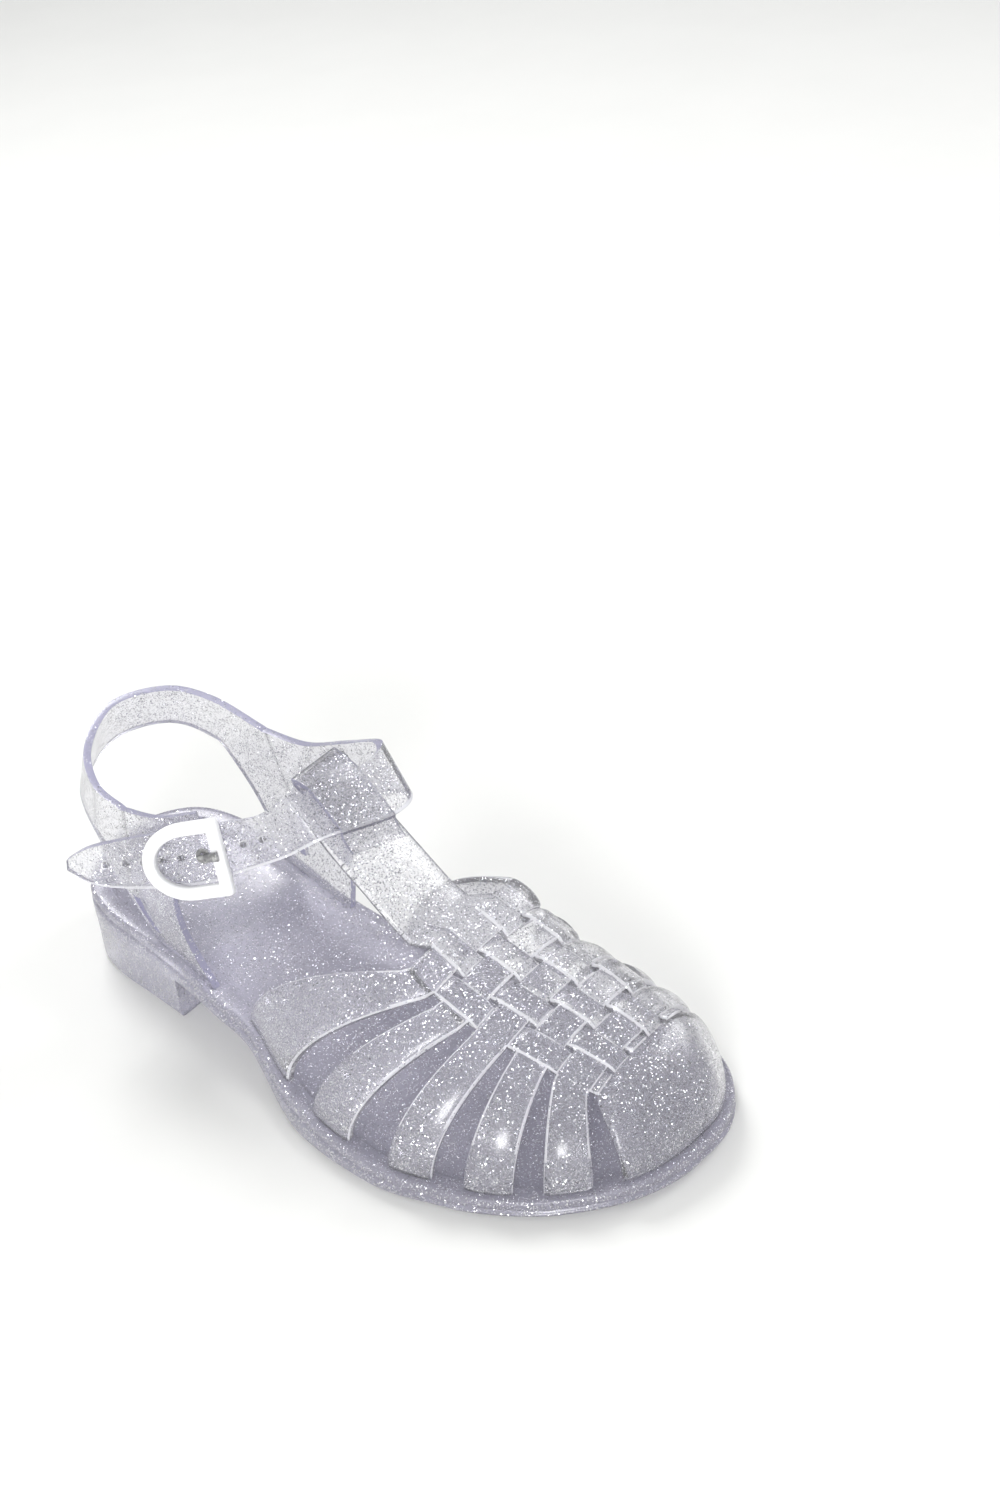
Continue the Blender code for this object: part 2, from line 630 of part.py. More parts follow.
def leg_point(start, leg, side, down):
    """Point of a leg's edge, from the band (0) to the sole (1)."""
    edge = INNER if side > 0 else OUTER
    foot_y = leg["foot_y"] * SHOE_LENGTH
    foot = edge.at(edge.share_at_y(foot_y), UPPER_INSET)
    foot_z = sole_top(foot[1]) + SEAT_GAP
    mid_y = leg["mid_y"] * SHOE_LENGTH
    mid = leg["mid_z"]
    y = (start[1] * (down - 1 + mid) * (down - 1) / (1 - mid)
         + mid_y * down * (down - 1) / ((1 - mid) * -mid)
         + foot[1] * down * (down - 1 + mid) / mid)
    level = edge.at(edge.share_at_y(y), UPPER_INSET)
    x = start[0] + (level[0] - start[0]) * down + side * LEG_BULGE * math.sin(math.pi * down)
    return np.array([x, y, start[2] + (foot_z - start[2]) * down])


def leg_between(first, second, share):
    return {key: first[key] + (second[key] - first[key]) * share for key in ("mid_y", "mid_z", "foot_y")}


def add_legs(sheet, lows, named):
    """Legs of both quarters, hung from the ribbon's low edge down to the sole."""
    edges = {row["name"]: row for row in LEG_EDGES}
    for side, order in ((-1, ("outer_front", "outer_slit_a", "outer_slit_b", "outer_rear")),
                        (1, ("inner_rear", "inner_slit_b", "inner_slit_a", "inner_front"))):
        for first, second in zip(order, order[1:]):
            start, end = named[first], named[second]
            slit = "slit" in first and "slit" in second
            for i in range(start, end):
                for r in range(LEG_ROWS):
                    if slit and SLIT_ROWS[0] <= r < SLIT_ROWS[1]:
                        continue
                    keys, places = [], []
                    for a, b in ((i, r), (i + 1, r), (i + 1, r + 1), (i, r + 1)):
                        leg = leg_between(edges[first], edges[second], (a - start) / (end - start))
                        keys.append(("r", a, RIBBON_ROWS) if b == 0 else ("leg", a, b))
                        places.append(leg_point(lows[a], leg, side, b / LEG_ROWS))
                    sheet.quad(keys, places)


def build_ribbon(sheet):
    tops, lows, named = ribbon_edges()
    for i in range(len(tops) - 1):
        for r in range(RIBBON_ROWS):
            keys, places = [], []
            for a, b in ((i, r), (i + 1, r), (i + 1, r + 1), (i, r + 1)):
                share = b / RIBBON_ROWS
                keys.append(("r", a, b))
                places.append(tops[a] + (lows[a] - tops[a]) * share)
            sheet.quad(keys, places)
    add_legs(sheet, lows, named)
    return tops, lows, named


def sole_ring(edge_shares, inset, height):
    """Closed ring of points round the sole: a list of (x, y, z)."""
    ring = []
    for edge, share in edge_shares:
        x, y = edge.at(share, inset)
        ring.append(np.array([x, y, height(y)]))
    return ring


def ring_shares():
    outer = [(OUTER, k / RING_HALF) for k in range(RING_HALF)]
    inner = [(INNER, k / RING_HALF) for k in range(RING_HALF, 0, -1)]
    return outer + inner


def sole_rows():
    """Rings of the platform from the middle of its underside, out and up its side, to the footbed."""
    welt_top = lambda y: sole_top(y)
    welt_low = lambda y: sole_top(y) - WELT_HEIGHT
    footbed = lambda y: sole_top(y) - FOOTBED_CUP * (0.45 + 0.55 * read_table(SOLE_PROFILE, "top", y_to_along(y)))
    inner_wall = UPPER_INSET + WALL + RIM_LAND
    return [
        (inner_wall + UNDER_LAND, sole_under),
        (EDGE_STEP * 1.3, sole_under),
        (0.2, lambda y: sole_under(y) + 1.2),
        (0.0, lambda y: min(sole_under(y) + SIDE_RISE, welt_low(y) - 1.6)),
        (0.0, lambda y: welt_low(y) - 1.2),
        (EDGE_STEP, lambda y: welt_low(y) - 0.5),
        (EDGE_STEP, lambda y: welt_low(y) + 0.1),
        (0.3, lambda y: welt_low(y) + 0.7),
        (0.3, lambda y: welt_top(y) - 0.9),
        (1.2, welt_top),
        (UPPER_INSET + WALL + 0.6, welt_top),
        (inner_wall, footbed),
        (inner_wall + BED_LAND, lambda y: footbed(y) - 0.8),
    ]


def build_sole(collection, mat):
    shares = ring_shares()
    rings = [sole_ring(shares, inset, height) for inset, height in sole_rows()]
    points, faces = [], []
    for ring in rings:
        points += ring
    count = len(shares)
    for j in range(len(rings) - 1):
        for k in range(count):
            a, b = j * count + k, j * count + (k + 1) % count
            faces.append([a, b, b + count, a + count])
    faces += cap_ring(0, count, True)
    faces += cap_ring((len(rings) - 1) * count, count, False)
    obj = mesh_object("sole", collection, points, faces, mat)
    return obj


def cap_ring(start, count, flip):
    """Close a ring by strips of quads between its outer half and its inner half."""
    faces = []
    for k in range(count // 2):
        a, b = start + k, start + k + 1
        c, d = start + (count - k - 1) % count, start + (count - k) % count
        face = [a, b, c, d]
        face = [v for i, v in enumerate(face) if v not in face[:i]]
        if len(face) > 2:
            faces.append(face[::-1] if not flip else face)
    return faces


def build_heel(collection, mat):
    """Heel block under the platform, with a straight breast."""
    breast_y = along_to_y(BREAST_ALONG)
    outer_end, inner_end = OUTER.share_at_y(breast_y), INNER.share_at_y(breast_y)
    ring = [(OUTER, outer_end * (1 - k / HEEL_RING)) for k in range(HEEL_RING)]
    ring += [(INNER, inner_end * k / HEEL_RING) for k in range(HEEL_RING + 1)]
    levels = [(HEEL_INSET + 1.0, 0.0), (HEEL_INSET, 1.0), (HEEL_INSET * 0.6, HEEL_LIFT + HEEL_OVERLAP)]
    points, faces = [], []
    for inset, height in levels:
        plan = [edge.at(share, inset) for edge, share in ring]
        points += [np.array([x, y, ground(y) + height]) for x, y in plan]
    count = len(ring)
    for j in range(len(levels) - 1):
        for k in range(count):
            a, b = j * count + k, j * count + (k + 1) % count
            faces.append([a, a + count, b + count, b])
    faces.append(list(range(count)))
    faces.append([len(points) - 1 - k for k in range(count)])
    return mesh_object("heel_block", collection, points, faces, mat)


def cut_tread(sole, cutters):
    """Cut cross grooves into the underside of the forefoot and the heel."""
    mesh = bmesh.new()
    for start, end in TREAD_SPANS:
        count = int((end - start) * SHOE_LENGTH / TREAD_PITCH)
        for k in range(count):
            y = along_to_y(start) - TREAD_PITCH * (k + 0.5)
            floor = ground(y) if start < BREAST_ALONG else sole_under(y)
            outer = OUTER.at(OUTER.share_at_y(y), TREAD_MARGIN)[0]
            inner = INNER.at(INNER.share_at_y(y), TREAD_MARGIN)[0]
            size = Vector((inner - outer, TREAD_GROOVE, TREAD_DEPTH + TREAD_CLEAR))
            middle = Vector(((inner + outer) / 2, y, floor + TREAD_DEPTH - size.z / 2))
            bmesh.ops.create_cube(mesh, size=MM, matrix=Matrix.LocRotScale(middle * MM, None, size))
    data = bpy.data.meshes.new("grooves")
    mesh.to_mesh(data)
    mesh.free()
    grooves = bpy.data.objects.new("grooves", data)
    cutters.objects.link(grooves)
    return join(sole, grooves, "DIFFERENCE")


def loop_line(x, tops, lows, named):
    """Path of the loop flap at one x: from the T-strap's fold over the ankle strap and down in front."""
    start, end = named["loop_inner"], named["loop_outer"]
    order = sorted(range(start, end + 1), key=lambda i: tops[i][0])
    at = lambda points, axis: np.interp(x, [points[i][0] for i in order], [points[i][axis] for i in order])
    top = np.array([x, at(tops, 1), at(tops, 2)])
    low = np.array([x, at(lows, 1), at(lows, 2)])
    down = (low - top) / np.linalg.norm(low - top)
    out = np.array([0.0, down[2], -down[1]])
    fold_y = along_to_y(T_STRAP[-1]["along"])
    fold = np.array([x, fold_y, T_STRAP[-1]["rise"] * COLLAR_HEIGHT])
    lift = out * (LOOP_WALL * 0.75)
    return [fold - np.array([0.0, 3.0, 4.0]), fold + np.array([0.0, 0.4, -0.6]), fold + np.array([0.0, 0.2, 1.6]),
            (top + fold) / 2 + lift * 1.2, top + down + lift, (top + low) / 2 + lift * 1.2,
            low - down * 0.5 + lift, low + down * 2.0 - out * 0.6, low + down * LOOP_TAB - out * 1.9]


def build_loop(collection, mat, tops, lows, named):
    """Flap that holds the ankle strap on the T-strap."""
    middle = T_STRAP[-1]["across"] * BALL_WIDTH
    sheet = Sheet()
    lines = []
    for x in [middle + LOOP_WIDTH * (k / 4 - 0.5) for k in range(5)]:
        lines.append(loop_line(x, tops, lows, named))
    for i in range(len(lines) - 1):
        for r in range(len(lines[0]) - 1):
            keys = [(i, r), (i + 1, r), (i + 1, r + 1), (i, r + 1)]
            sheet.quad(keys, [lines[a][b] for a, b in keys])
    flap = mesh_object("flap", collection, sheet.points, sheet.faces, mat)
    fold = T_STRAP[-1]
    turn_faces_out(flap, (middle, along_to_y(fold["along"]) + 1.0, fold["rise"] * COLLAR_HEIGHT - 12.0))
    return thicken(flap, LOOP_WALL)


class StrapPlace:
    """Flat seat of the buckle over the ankle strap: u towards the heel, v up, out away from the foot."""

    def __init__(self, tops, lows, named):
        middle = (tops + lows) / 2
        bar, over = named["buckle_bar"], named["over_tab"]
        centre = (bar + over) // 2
        self.u = (middle[over] - middle[bar]) / np.linalg.norm(middle[over] - middle[bar])
        rise = tops[centre] - lows[centre]
        rise = rise - self.u * rise.dot(self.u)
        self.v = rise / np.linalg.norm(rise)
        self.out = np.cross(self.v, self.u)
        self.origin = middle[centre] - self.v * BUCKLE_DROP
        span = range(named["strap_fall"], named["tail_end"] + 1)
        near = [p for i in span for p in (tops[i], lows[i], middle[i])
                if abs((p - self.origin).dot(self.u)) < BUCKLE_LENGTH / 2 + 3]
        height = max((p - self.origin).dot(self.out) for p in near)
        self.origin = self.origin + self.out * (height + SEAT_GAP)

    def at(self, u, v, out):
        return self.origin + self.u * u + self.v * v + self.out * out

    def seat(self, obj, u, v, out):
        """Put a piece that is made round the origin, its Z outwards, on the strap."""
        turn = Matrix((self.u, self.v, self.out)).transposed().to_4x4()
        turn.translation = Vector(self.at(u, v, out)) * MM
        obj.data.transform(turn)
        return turn_faces_out(obj)


def d_outline(inset):
    """Points of the buckle's outline, inset from the outside: straight bar at -u, round side at +u."""
    half = BUCKLE_HEIGHT / 2 - inset
    front = -BUCKLE_LENGTH / 2 + inset
    start = -BUCKLE_LENGTH / 2 + D_STRAIGHT * BUCKLE_LENGTH
    reach = BUCKLE_LENGTH / 2 - inset - start
    corner = max(1.6 - inset * 0.3, 0.4)
    points = [(front + corner, -half)]
    for k in range(BUCKLE_ARC + 1):
        angle = -math.pi / 2 + math.pi * k / BUCKLE_ARC
        points.append((start + reach * math.cos(angle), half * math.sin(angle)))
    points += [(front + corner, half), (front, half - corner), (front, -half + corner)]
    return points


def flat_plate(name, collection, outlines, thickness, mat):
    """Solid plate on the floor from closed outlines, the later ones holes in the first."""
    curve = bpy.data.curves.new(name, "CURVE")
    curve.dimensions = "2D"
    curve.fill_mode = "BOTH"
    curve.extrude = thickness / 2 * MM
    for outline in outlines:
        spline = curve.splines.new("POLY")
        spline.points.add(len(outline) - 1)
        spline.use_cyclic_u = True
        for point, (u, v) in zip(spline.points, outline):
            point.co = (u * MM, v * MM, 0.0, 1.0)
    source = bpy.data.objects.new(name + "_outline", curve)
    collection.objects.link(source)
    bpy.context.view_layer.update()
    evaluated = source.evaluated_get(bpy.context.evaluated_depsgraph_get())
    mesh = bmesh.new()
    mesh.from_mesh(evaluated.to_mesh())
    bmesh.ops.remove_doubles(mesh, verts=mesh.verts, dist=MERGE_WITHIN * MM)
    bmesh.ops.translate(mesh, verts=mesh.verts, vec=(0.0, 0.0, thickness / 2 * MM))
    data = bpy.data.meshes.new(name)
    mesh.to_mesh(data)
    mesh.free()
    bpy.data.objects.remove(source, do_unlink=True)
    data.materials.clear()
    data.materials.append(mat)
    obj = bpy.data.objects.new(name, data)
    collection.objects.link(obj)
    return obj


def build_buckle(collection, mat, place):
    """White D frame, with its edges broken."""
    buckle = flat_plate("buckle_frame", collection, [d_outline(0.0), d_outline(BUCKLE_BAR)], BUCKLE_THICK, mat)
    bevel = buckle.modifiers.new("edges", "BEVEL")
    bevel.width = BUCKLE_ROUNDING * MM
    bevel.segments = 1
    bevel.limit_method = "ANGLE"
    bevel.angle_limit = math.radians(50)
    return place.seat(apply_modifiers(buckle), 0.0, 0.0, 0.0)


def build_prong(collection, mat, place):
    """Flat prong hooked over the bar, its tip above the eyelet."""
    bar = -BUCKLE_LENGTH / 2
    over = BUCKLE_THICK + SEAT_GAP
    low = EYELET_THICK + 2 * SEAT_GAP
    path = [(bar + BUCKLE_BAR * 0.35, over), (bar + BUCKLE_BAR * 0.8, over), (bar + BUCKLE_BAR + 0.9, over - 0.1),
            (bar + BUCKLE_BAR + 2.0, low + 0.5), (bar + BUCKLE_BAR + 3.0, low),
            (bar + BUCKLE_BAR / 2 + EYELET_AWAY + 1.0, low)]
    sheet = Sheet()
    lines = []
    for i, (u, height) in enumerate(path):
        half = PRONG_WIDTH / 2 * (1.25 if i < 3 else 1.0 if i < 5 else 0.6)
        lines.append([place.at(u, side * half, height + PRONG_THICK) for side in (-1, 0, 1)])
    for i in range(len(lines) - 1):
        for k in range(2):
            keys = [(i, k), (i + 1, k), (i + 1, k + 1), (i, k + 1)]
            sheet.quad(keys, [lines[a][b] for a, b in keys])
    prong = mesh_object("buckle_prong", collection, sheet.points, sheet.faces, mat)
    turn_faces_out(prong, place.at(0.0, 0.0, -BUCKLE_LENGTH))
    return turn_faces_out(thicken(prong, PRONG_THICK))


def build_eyelet(collection, mat, place):
    """Metal ring round the hole that the prong sits in: a section turned round its axis."""
    section = [(EYELET_HOLE, 0.0), (EYELET_RADIUS, 0.0), (EYELET_RADIUS, EYELET_THICK * 0.5),
               (EYELET_RADIUS - 0.5, EYELET_THICK), (EYELET_HOLE + 0.4, EYELET_THICK), (EYELET_HOLE, EYELET_THICK * 0.5)]
    mesh = bpy.data.meshes.new("eyelet")
    count = len(section)
    mesh.from_pydata([(radius * MM, 0.0, height * MM) for radius, height in section],
                     [(k, (k + 1) % count) for k in range(count)], [])
    mesh.materials.append(mat)
    eyelet = bpy.data.objects.new("eyelet", mesh)
    collection.objects.link(eyelet)
    screw = eyelet.modifiers.new("turned", "SCREW")
    screw.axis = "Z"
    screw.steps = ROUND_STEPS
    screw.render_steps = ROUND_STEPS
    screw.use_merge_vertices = True
    screw.merge_threshold = MERGE_WITHIN * MM
    middle = -BUCKLE_LENGTH / 2 + BUCKLE_BAR / 2 + EYELET_AWAY
    return place.seat(apply_modifiers(eyelet), middle, BUCKLE_DROP, 0.0)


def centre_on_floor(objects):
    """Turn all meshes so that the floor is level, and move them so that their box stands over the origin."""
    for obj in objects:
        obj.data.transform(Matrix.Rotation(math.atan(GROUND_SLOPE), 4, "X"))
    xs = [vertex.co.x for obj in objects for vertex in obj.data.vertices]
    ys = [vertex.co.y for obj in objects for vertex in obj.data.vertices]
    zs = [vertex.co.z for obj in objects for vertex in obj.data.vertices]
    shift = Vector(((min(xs) + max(xs)) / 2, (min(ys) + max(ys)) / 2, min(zs)))
    for obj in objects:
        for vertex in obj.data.vertices:
            vertex.co -= shift


def collection_named(name):
    coll = bpy.data.collections.new(name)
    bpy.context.scene.collection.children.link(coll)
    return coll


def main():
    for obj in list(bpy.data.objects):
        bpy.data.objects.remove(obj, do_unlink=True)
    parts = collection_named("jelly_sandal")
    cutters = collection_named("cutters")
    cutters.hide_render = True
    clear = material("glitter_pvc", (0.78, 0.77, 0.86), 0.25)
    sole_mat = material("sole_pvc", (0.70, 0.69, 0.82), 0.3)
    white = material("white_plastic", (0.92, 0.92, 0.93), 0.3)
    metal = material("prong_metal", (0.55, 0.55, 0.57), 0.3, 1.0)

    sheet, rows = build_cage()
    add_t_strap(sheet, rows)
    upper = mesh_object("upper", parts, sheet.points, sheet.faces, clear)
    turn_faces_out(upper, (0, along_to_y(0.7), 0))
    seat_on_sole(thicken(upper, WALL))

    ribbon_sheet = Sheet()
    tops, lows, named = build_ribbon(ribbon_sheet)
    ribbon = mesh_object("ribbon", parts, ribbon_sheet.points, ribbon_sheet.faces, clear)
    turn_faces_out(ribbon, (0, 0.25 * SHOE_LENGTH, 0.5 * COLLAR_HEIGHT))
    seat_on_sole(thicken(ribbon, WALL))
    join(upper, ribbon)
    join(upper, build_loop(parts, clear, tops, lows, named))

    sole = turn_faces_out(build_sole(parts, sole_mat))
    join(sole, turn_faces_out(build_heel(parts, sole_mat)))
    cut_tread(sole, cutters)

    place = StrapPlace(tops, lows, named)
    buckle = build_buckle(parts, white, place)
    prong = build_prong(parts, metal, place)
    eyelet = build_eyelet(parts, metal, place)
    centre_on_floor([upper, sole, buckle, prong, eyelet])


main()
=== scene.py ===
"""Looks of the clear glitter jelly sandal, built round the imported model. Right foot, toe to -Y."""
import math

import bmesh
import bpy
import numpy as np
from mathutils import Matrix, Vector


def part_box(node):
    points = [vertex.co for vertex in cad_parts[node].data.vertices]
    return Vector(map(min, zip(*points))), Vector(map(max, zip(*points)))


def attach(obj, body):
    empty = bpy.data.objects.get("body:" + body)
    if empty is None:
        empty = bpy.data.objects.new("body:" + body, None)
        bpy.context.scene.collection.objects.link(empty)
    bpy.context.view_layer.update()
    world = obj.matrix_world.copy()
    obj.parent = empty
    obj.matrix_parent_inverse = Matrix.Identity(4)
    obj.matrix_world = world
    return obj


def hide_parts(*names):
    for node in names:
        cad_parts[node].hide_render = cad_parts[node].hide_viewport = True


MM = 0.001

# Sizes of the sandal in millimetres, as in the part.
SHOE_LENGTH = 252.0
BALL_WIDTH = 104.0
HEEL_WIDTH = 70.0
INSTEP_HEIGHT = 62.0
COLLAR_HEIGHT = 90.0
SOLE_AT_BALL = 12.5
SOLE_AT_HEEL = 27.0
HEEL_LIFT = 17.0
TOE_SPRING = 5.0
UNDER_SPRING = 1.7
GROUND_AT_BALL = 4.3
WALL = 2.6
RELIEF = 1.2
SEAT_GAP = 0.3
UPPER_INSET = 3.2
LEG_BULGE = 1.0
LEG_MID = 0.42
FOOTBED_CUP = 4.0
RIM_LAND = 2.2
EDGE_STEP = 1.1
WELT_HEIGHT = 4.2
HEEL_INSET = 0.4
T_CROWN = 2.2
LOOP_WIDTH = 20.0
LOOP_WALL = 1.8
LOOP_TAB = 8.0
BUCKLE_HEIGHT = 26.5
BUCKLE_LENGTH = 31.0
BUCKLE_BAR = 4.6
BUCKLE_THICK = 3.0
BUCKLE_DROP = 0.8
OUTER_POWER = 2.15
INNER_POWER = 3.6
CROWN_POWER = 1.8
SWING_POWER = 1.15
CAP_RISE_POWER = 1.35
CAP_DROP_POWER = 2.0
COLUMN_GAP = 0.18
BREAST_ALONG = 0.247
BALL_ALONG = 0.738
GROUND_SLOPE = 0.053
D_STRAIGHT = 0.45
COLUMNS = 5
STRIP_FIRST = 1
STRIP_LAST = 3

# Finer form of the upper, in millimetres. CAP_START, SUNK: shares of CAP_CROWN at the cap's rear edge and of
# RELIEF where a strip lies low. CAP_SOFT: share of the rounding at that edge. STEEP: a slope.
EDGE_ROUND = 0.9
RIBBON_ROUND = 0.6
LOOP_ROUND = 0.5
# Cage cells steeper than STEEP take the edge plastic, a painted highlight along edges.
STEEP = 0.9
BAND_CROWN = 1.5
STRIP_CROWN = 0.7
CAP_CROWN = 0.9
CAP_START = 0.3
CAP_SOFT = 0.6
SUNK = 0.35
GAP_DIP = -0.3
BAND_WIDTH = 12.0
STRIP_WIDTH = 9.0
STRAP_CROWN = 0.5
CAP_RUN = 45.0
PANEL_HALF = 27.0
RIB_PITCH = 1.5
RIB_DEPTH = 0.3
HOLE_PITCH = 7.7
HOLE_RADIUS = 1.1

PRONG_WIDTH = 2.6
PRONG_THICK = 1.4
EYELET_RADIUS = 2.7
EYELET_HOLE = 1.1
EYELET_THICK = 0.8
EYELET_AWAY = 6.6

# Camera: its angles and roll in degrees, its place in millimetres from the last's origin, and its focal
# length in pixels of a frame 1500 high.
CAMERA_ANGLES = (-48.23, 38.14, -3.74)
CAMERA_AT = (-370.4, -390.7, 539.9)
FOCAL_PIXELS = 2198.0

# Finishes and light.
FLECKS_PER_METRE = 2000.0
FLECK_DARK = (0.42, 0.42, 0.46)
FLECK_MID = (0.78, 0.78, 0.82)
FLECK_BRIGHT = (1.0, 1.0, 1.0)
FLECK_TILT = 0.9
FLOOR_COLOR = (0.83, 0.83, 0.81)
FLOOR_TURN = 53.7
WORLD_STRENGTH = 0.58
LIGHTS = (("key", (0.35, 0.75, 1.1), (0.5, 0.4), 9.0),
          ("front", (-0.95, -0.72, 0.60), (0.4, 0.34), 9.5),
          ("side", (1.0, -0.4, 0.8), (0.4, 0.6), 4.0))

# Cells of the finer meshes, and the least angle of an edge that is rounded, in degrees.
ACROSS = (0.0, 0.02, 0.06, 0.14, 0.26, 0.4, 0.5, 0.6, 0.74, 0.86, 0.94, 0.98, 1.0)
GAP_ACROSS = (0.16, 0.5, 0.84)
BETWEEN_BANDS = (0.1, 0.35, 0.65, 0.9)
SIDE_STEPS = 22
CAP_DOWN = (0.015, 0.04, 0.08, 0.13) + tuple(0.13 + 0.87 * k / 22 for k in range(1, 23))
T_ROWS = 8
RIBBON_FINE = 3
RIBBON_DOWN = (0.0, 0.05, 0.15, 0.28, 0.42, 0.58, 0.72, 0.85, 0.95, 1.0)
RIBBON_ROWS = 9
LEG_ROWS = 18
SLIT_ROWS = (6, 14)
LOOP_LINES = 12
LOOP_FINE = 4
RING_HALF = 620
HEEL_RING = 90
ROUND_STEPS = 48
ROUND_SEGMENTS = 3
ROUND_ANGLE = 50


def rows_of(columns, *rows):
    """Rows of a table, each a dict by column name."""
    return [dict(zip(columns.split(), row)) for row in rows]


# Sole outline, from the back of the heel to the tip of the toe.
# along: share of SHOE_LENGTH from the heel. heel, ball: shares of HEEL_WIDTH and BALL_WIDTH, added.
LATERAL_EDGE = rows_of("along heel ball",
    (0.000, 0.000, 0.000), (0.008, 0.200, 0.000), (0.044, 0.400, 0.000), (0.103, 0.486, 0.000),
    (0.183, 0.514, 0.000), (0.262, 0.400, 0.096), (0.337, 0.200, 0.255), (0.409, 0.000, 0.409),
    (0.500, 0.000, 0.500), (0.563, 0.000, 0.538), (0.631, 0.000, 0.553), (0.698, 0.000, 0.548),
    (0.762, 0.000, 0.505), (0.810, 0.000, 0.466), (0.865, 0.000, 0.394), (0.903, 0.000, 0.327),
    (0.946, 0.000, 0.221), (0.974, 0.000, 0.125), (0.994, 0.000, 0.000), (1.000, 0.000, -0.144))
MEDIAL_EDGE = rows_of("along heel ball",
    (0.000, 0.000, 0.000), (0.008, 0.200, 0.000), (0.044, 0.371, 0.000), (0.103, 0.443, 0.000),
    (0.183, 0.443, 0.000), (0.262, 0.290, 0.079), (0.337, 0.140, 0.160), (0.413, 0.000, 0.262),
    (0.480, 0.000, 0.298), (0.571, 0.000, 0.375), (0.667, 0.000, 0.452), (0.758, 0.000, 0.495),
    (0.825, 0.000, 0.505), (0.885, 0.000, 0.488), (0.937, 0.000, 0.431), (0.976, 0.000, 0.338),
    (0.996, 0.000, 0.240), (1.000, 0.000, 0.160))

# Side view of the sole. top: rim height as a blend from SOLE_AT_BALL (0) to SOLE_AT_HEEL (1).
# lift: underside of the platform over the floor, share of HEEL_LIFT. spring: rise at the toe, share of
# TOE_SPRING for the rim and of UNDER_SPRING for the underside.
SOLE_PROFILE = rows_of("along top lift spring",
    (0.00, 1.00, 1.00, 0.00), (0.25, 0.90, 1.00, 0.00), (0.36, 0.66, 0.80, 0.00),
    (0.46, 0.42, 0.36, 0.00), (0.55, 0.20, 0.00, 0.00), (0.68, 0.03, 0.00, 0.00),
    (0.82, 0.00, 0.00, 0.06), (0.92, 0.00, 0.00, 0.42), (1.00, 0.00, 0.00, 1.00))

# Crest of the last over the forefoot. across: share of BALL_WIDTH towards the inner side.
# rise: share of INSTEP_HEIGHT. weave: half width of the woven panel, share of BALL_WIDTH.
CREST = rows_of("along across rise weave",
    (0.595, 0.085, 1.030, 0.240), (0.650, 0.086, 0.952, 0.262), (0.720, 0.094, 0.860, 0.268),
    (0.800, 0.112, 0.770, 0.250), (0.890, 0.132, 0.665, 0.215))

# Bands of the cage, from the throat to the toe. crest_*: share of SHOE_LENGTH on the crest, rear and
# front edge. outer_*, inner_*: share of the sole's edge from the heel to the toe tip, at their feet.
BANDS = rows_of("name crest_rear crest_front outer_rear outer_front inner_rear inner_front",
    ("a", 0.622, 0.664, 0.388, 0.478, 0.460, 0.588),
    ("b", 0.676, 0.717, 0.527, 0.583, 0.608, 0.664),
    ("c", 0.729, 0.771, 0.636, 0.687, 0.684, 0.730),
    ("d", 0.783, 0.824, 0.722, 0.774, 0.746, 0.785),
    ("e", 0.836, 0.878, 0.806, 0.857, 0.798, 0.834),
    ("cap", 0.889, 1.000, 0.889, 1.000, 0.848, 1.000))

# T-strap, from the woven panel up to its fold over the ankle strap.
# across: share of BALL_WIDTH. rise: share of COLLAR_HEIGHT. half: half width, share of BALL_WIDTH.
T_STRAP = rows_of("along across rise half",
    (0.595, 0.060, 0.690, 0.140), (0.571, 0.050, 0.742, 0.136), (0.524, 0.043, 0.850, 0.134),
    (0.476, 0.043, 0.945, 0.134), (0.429, 0.048, 1.055, 0.134), (0.397, 0.055, 1.110, 0.134))

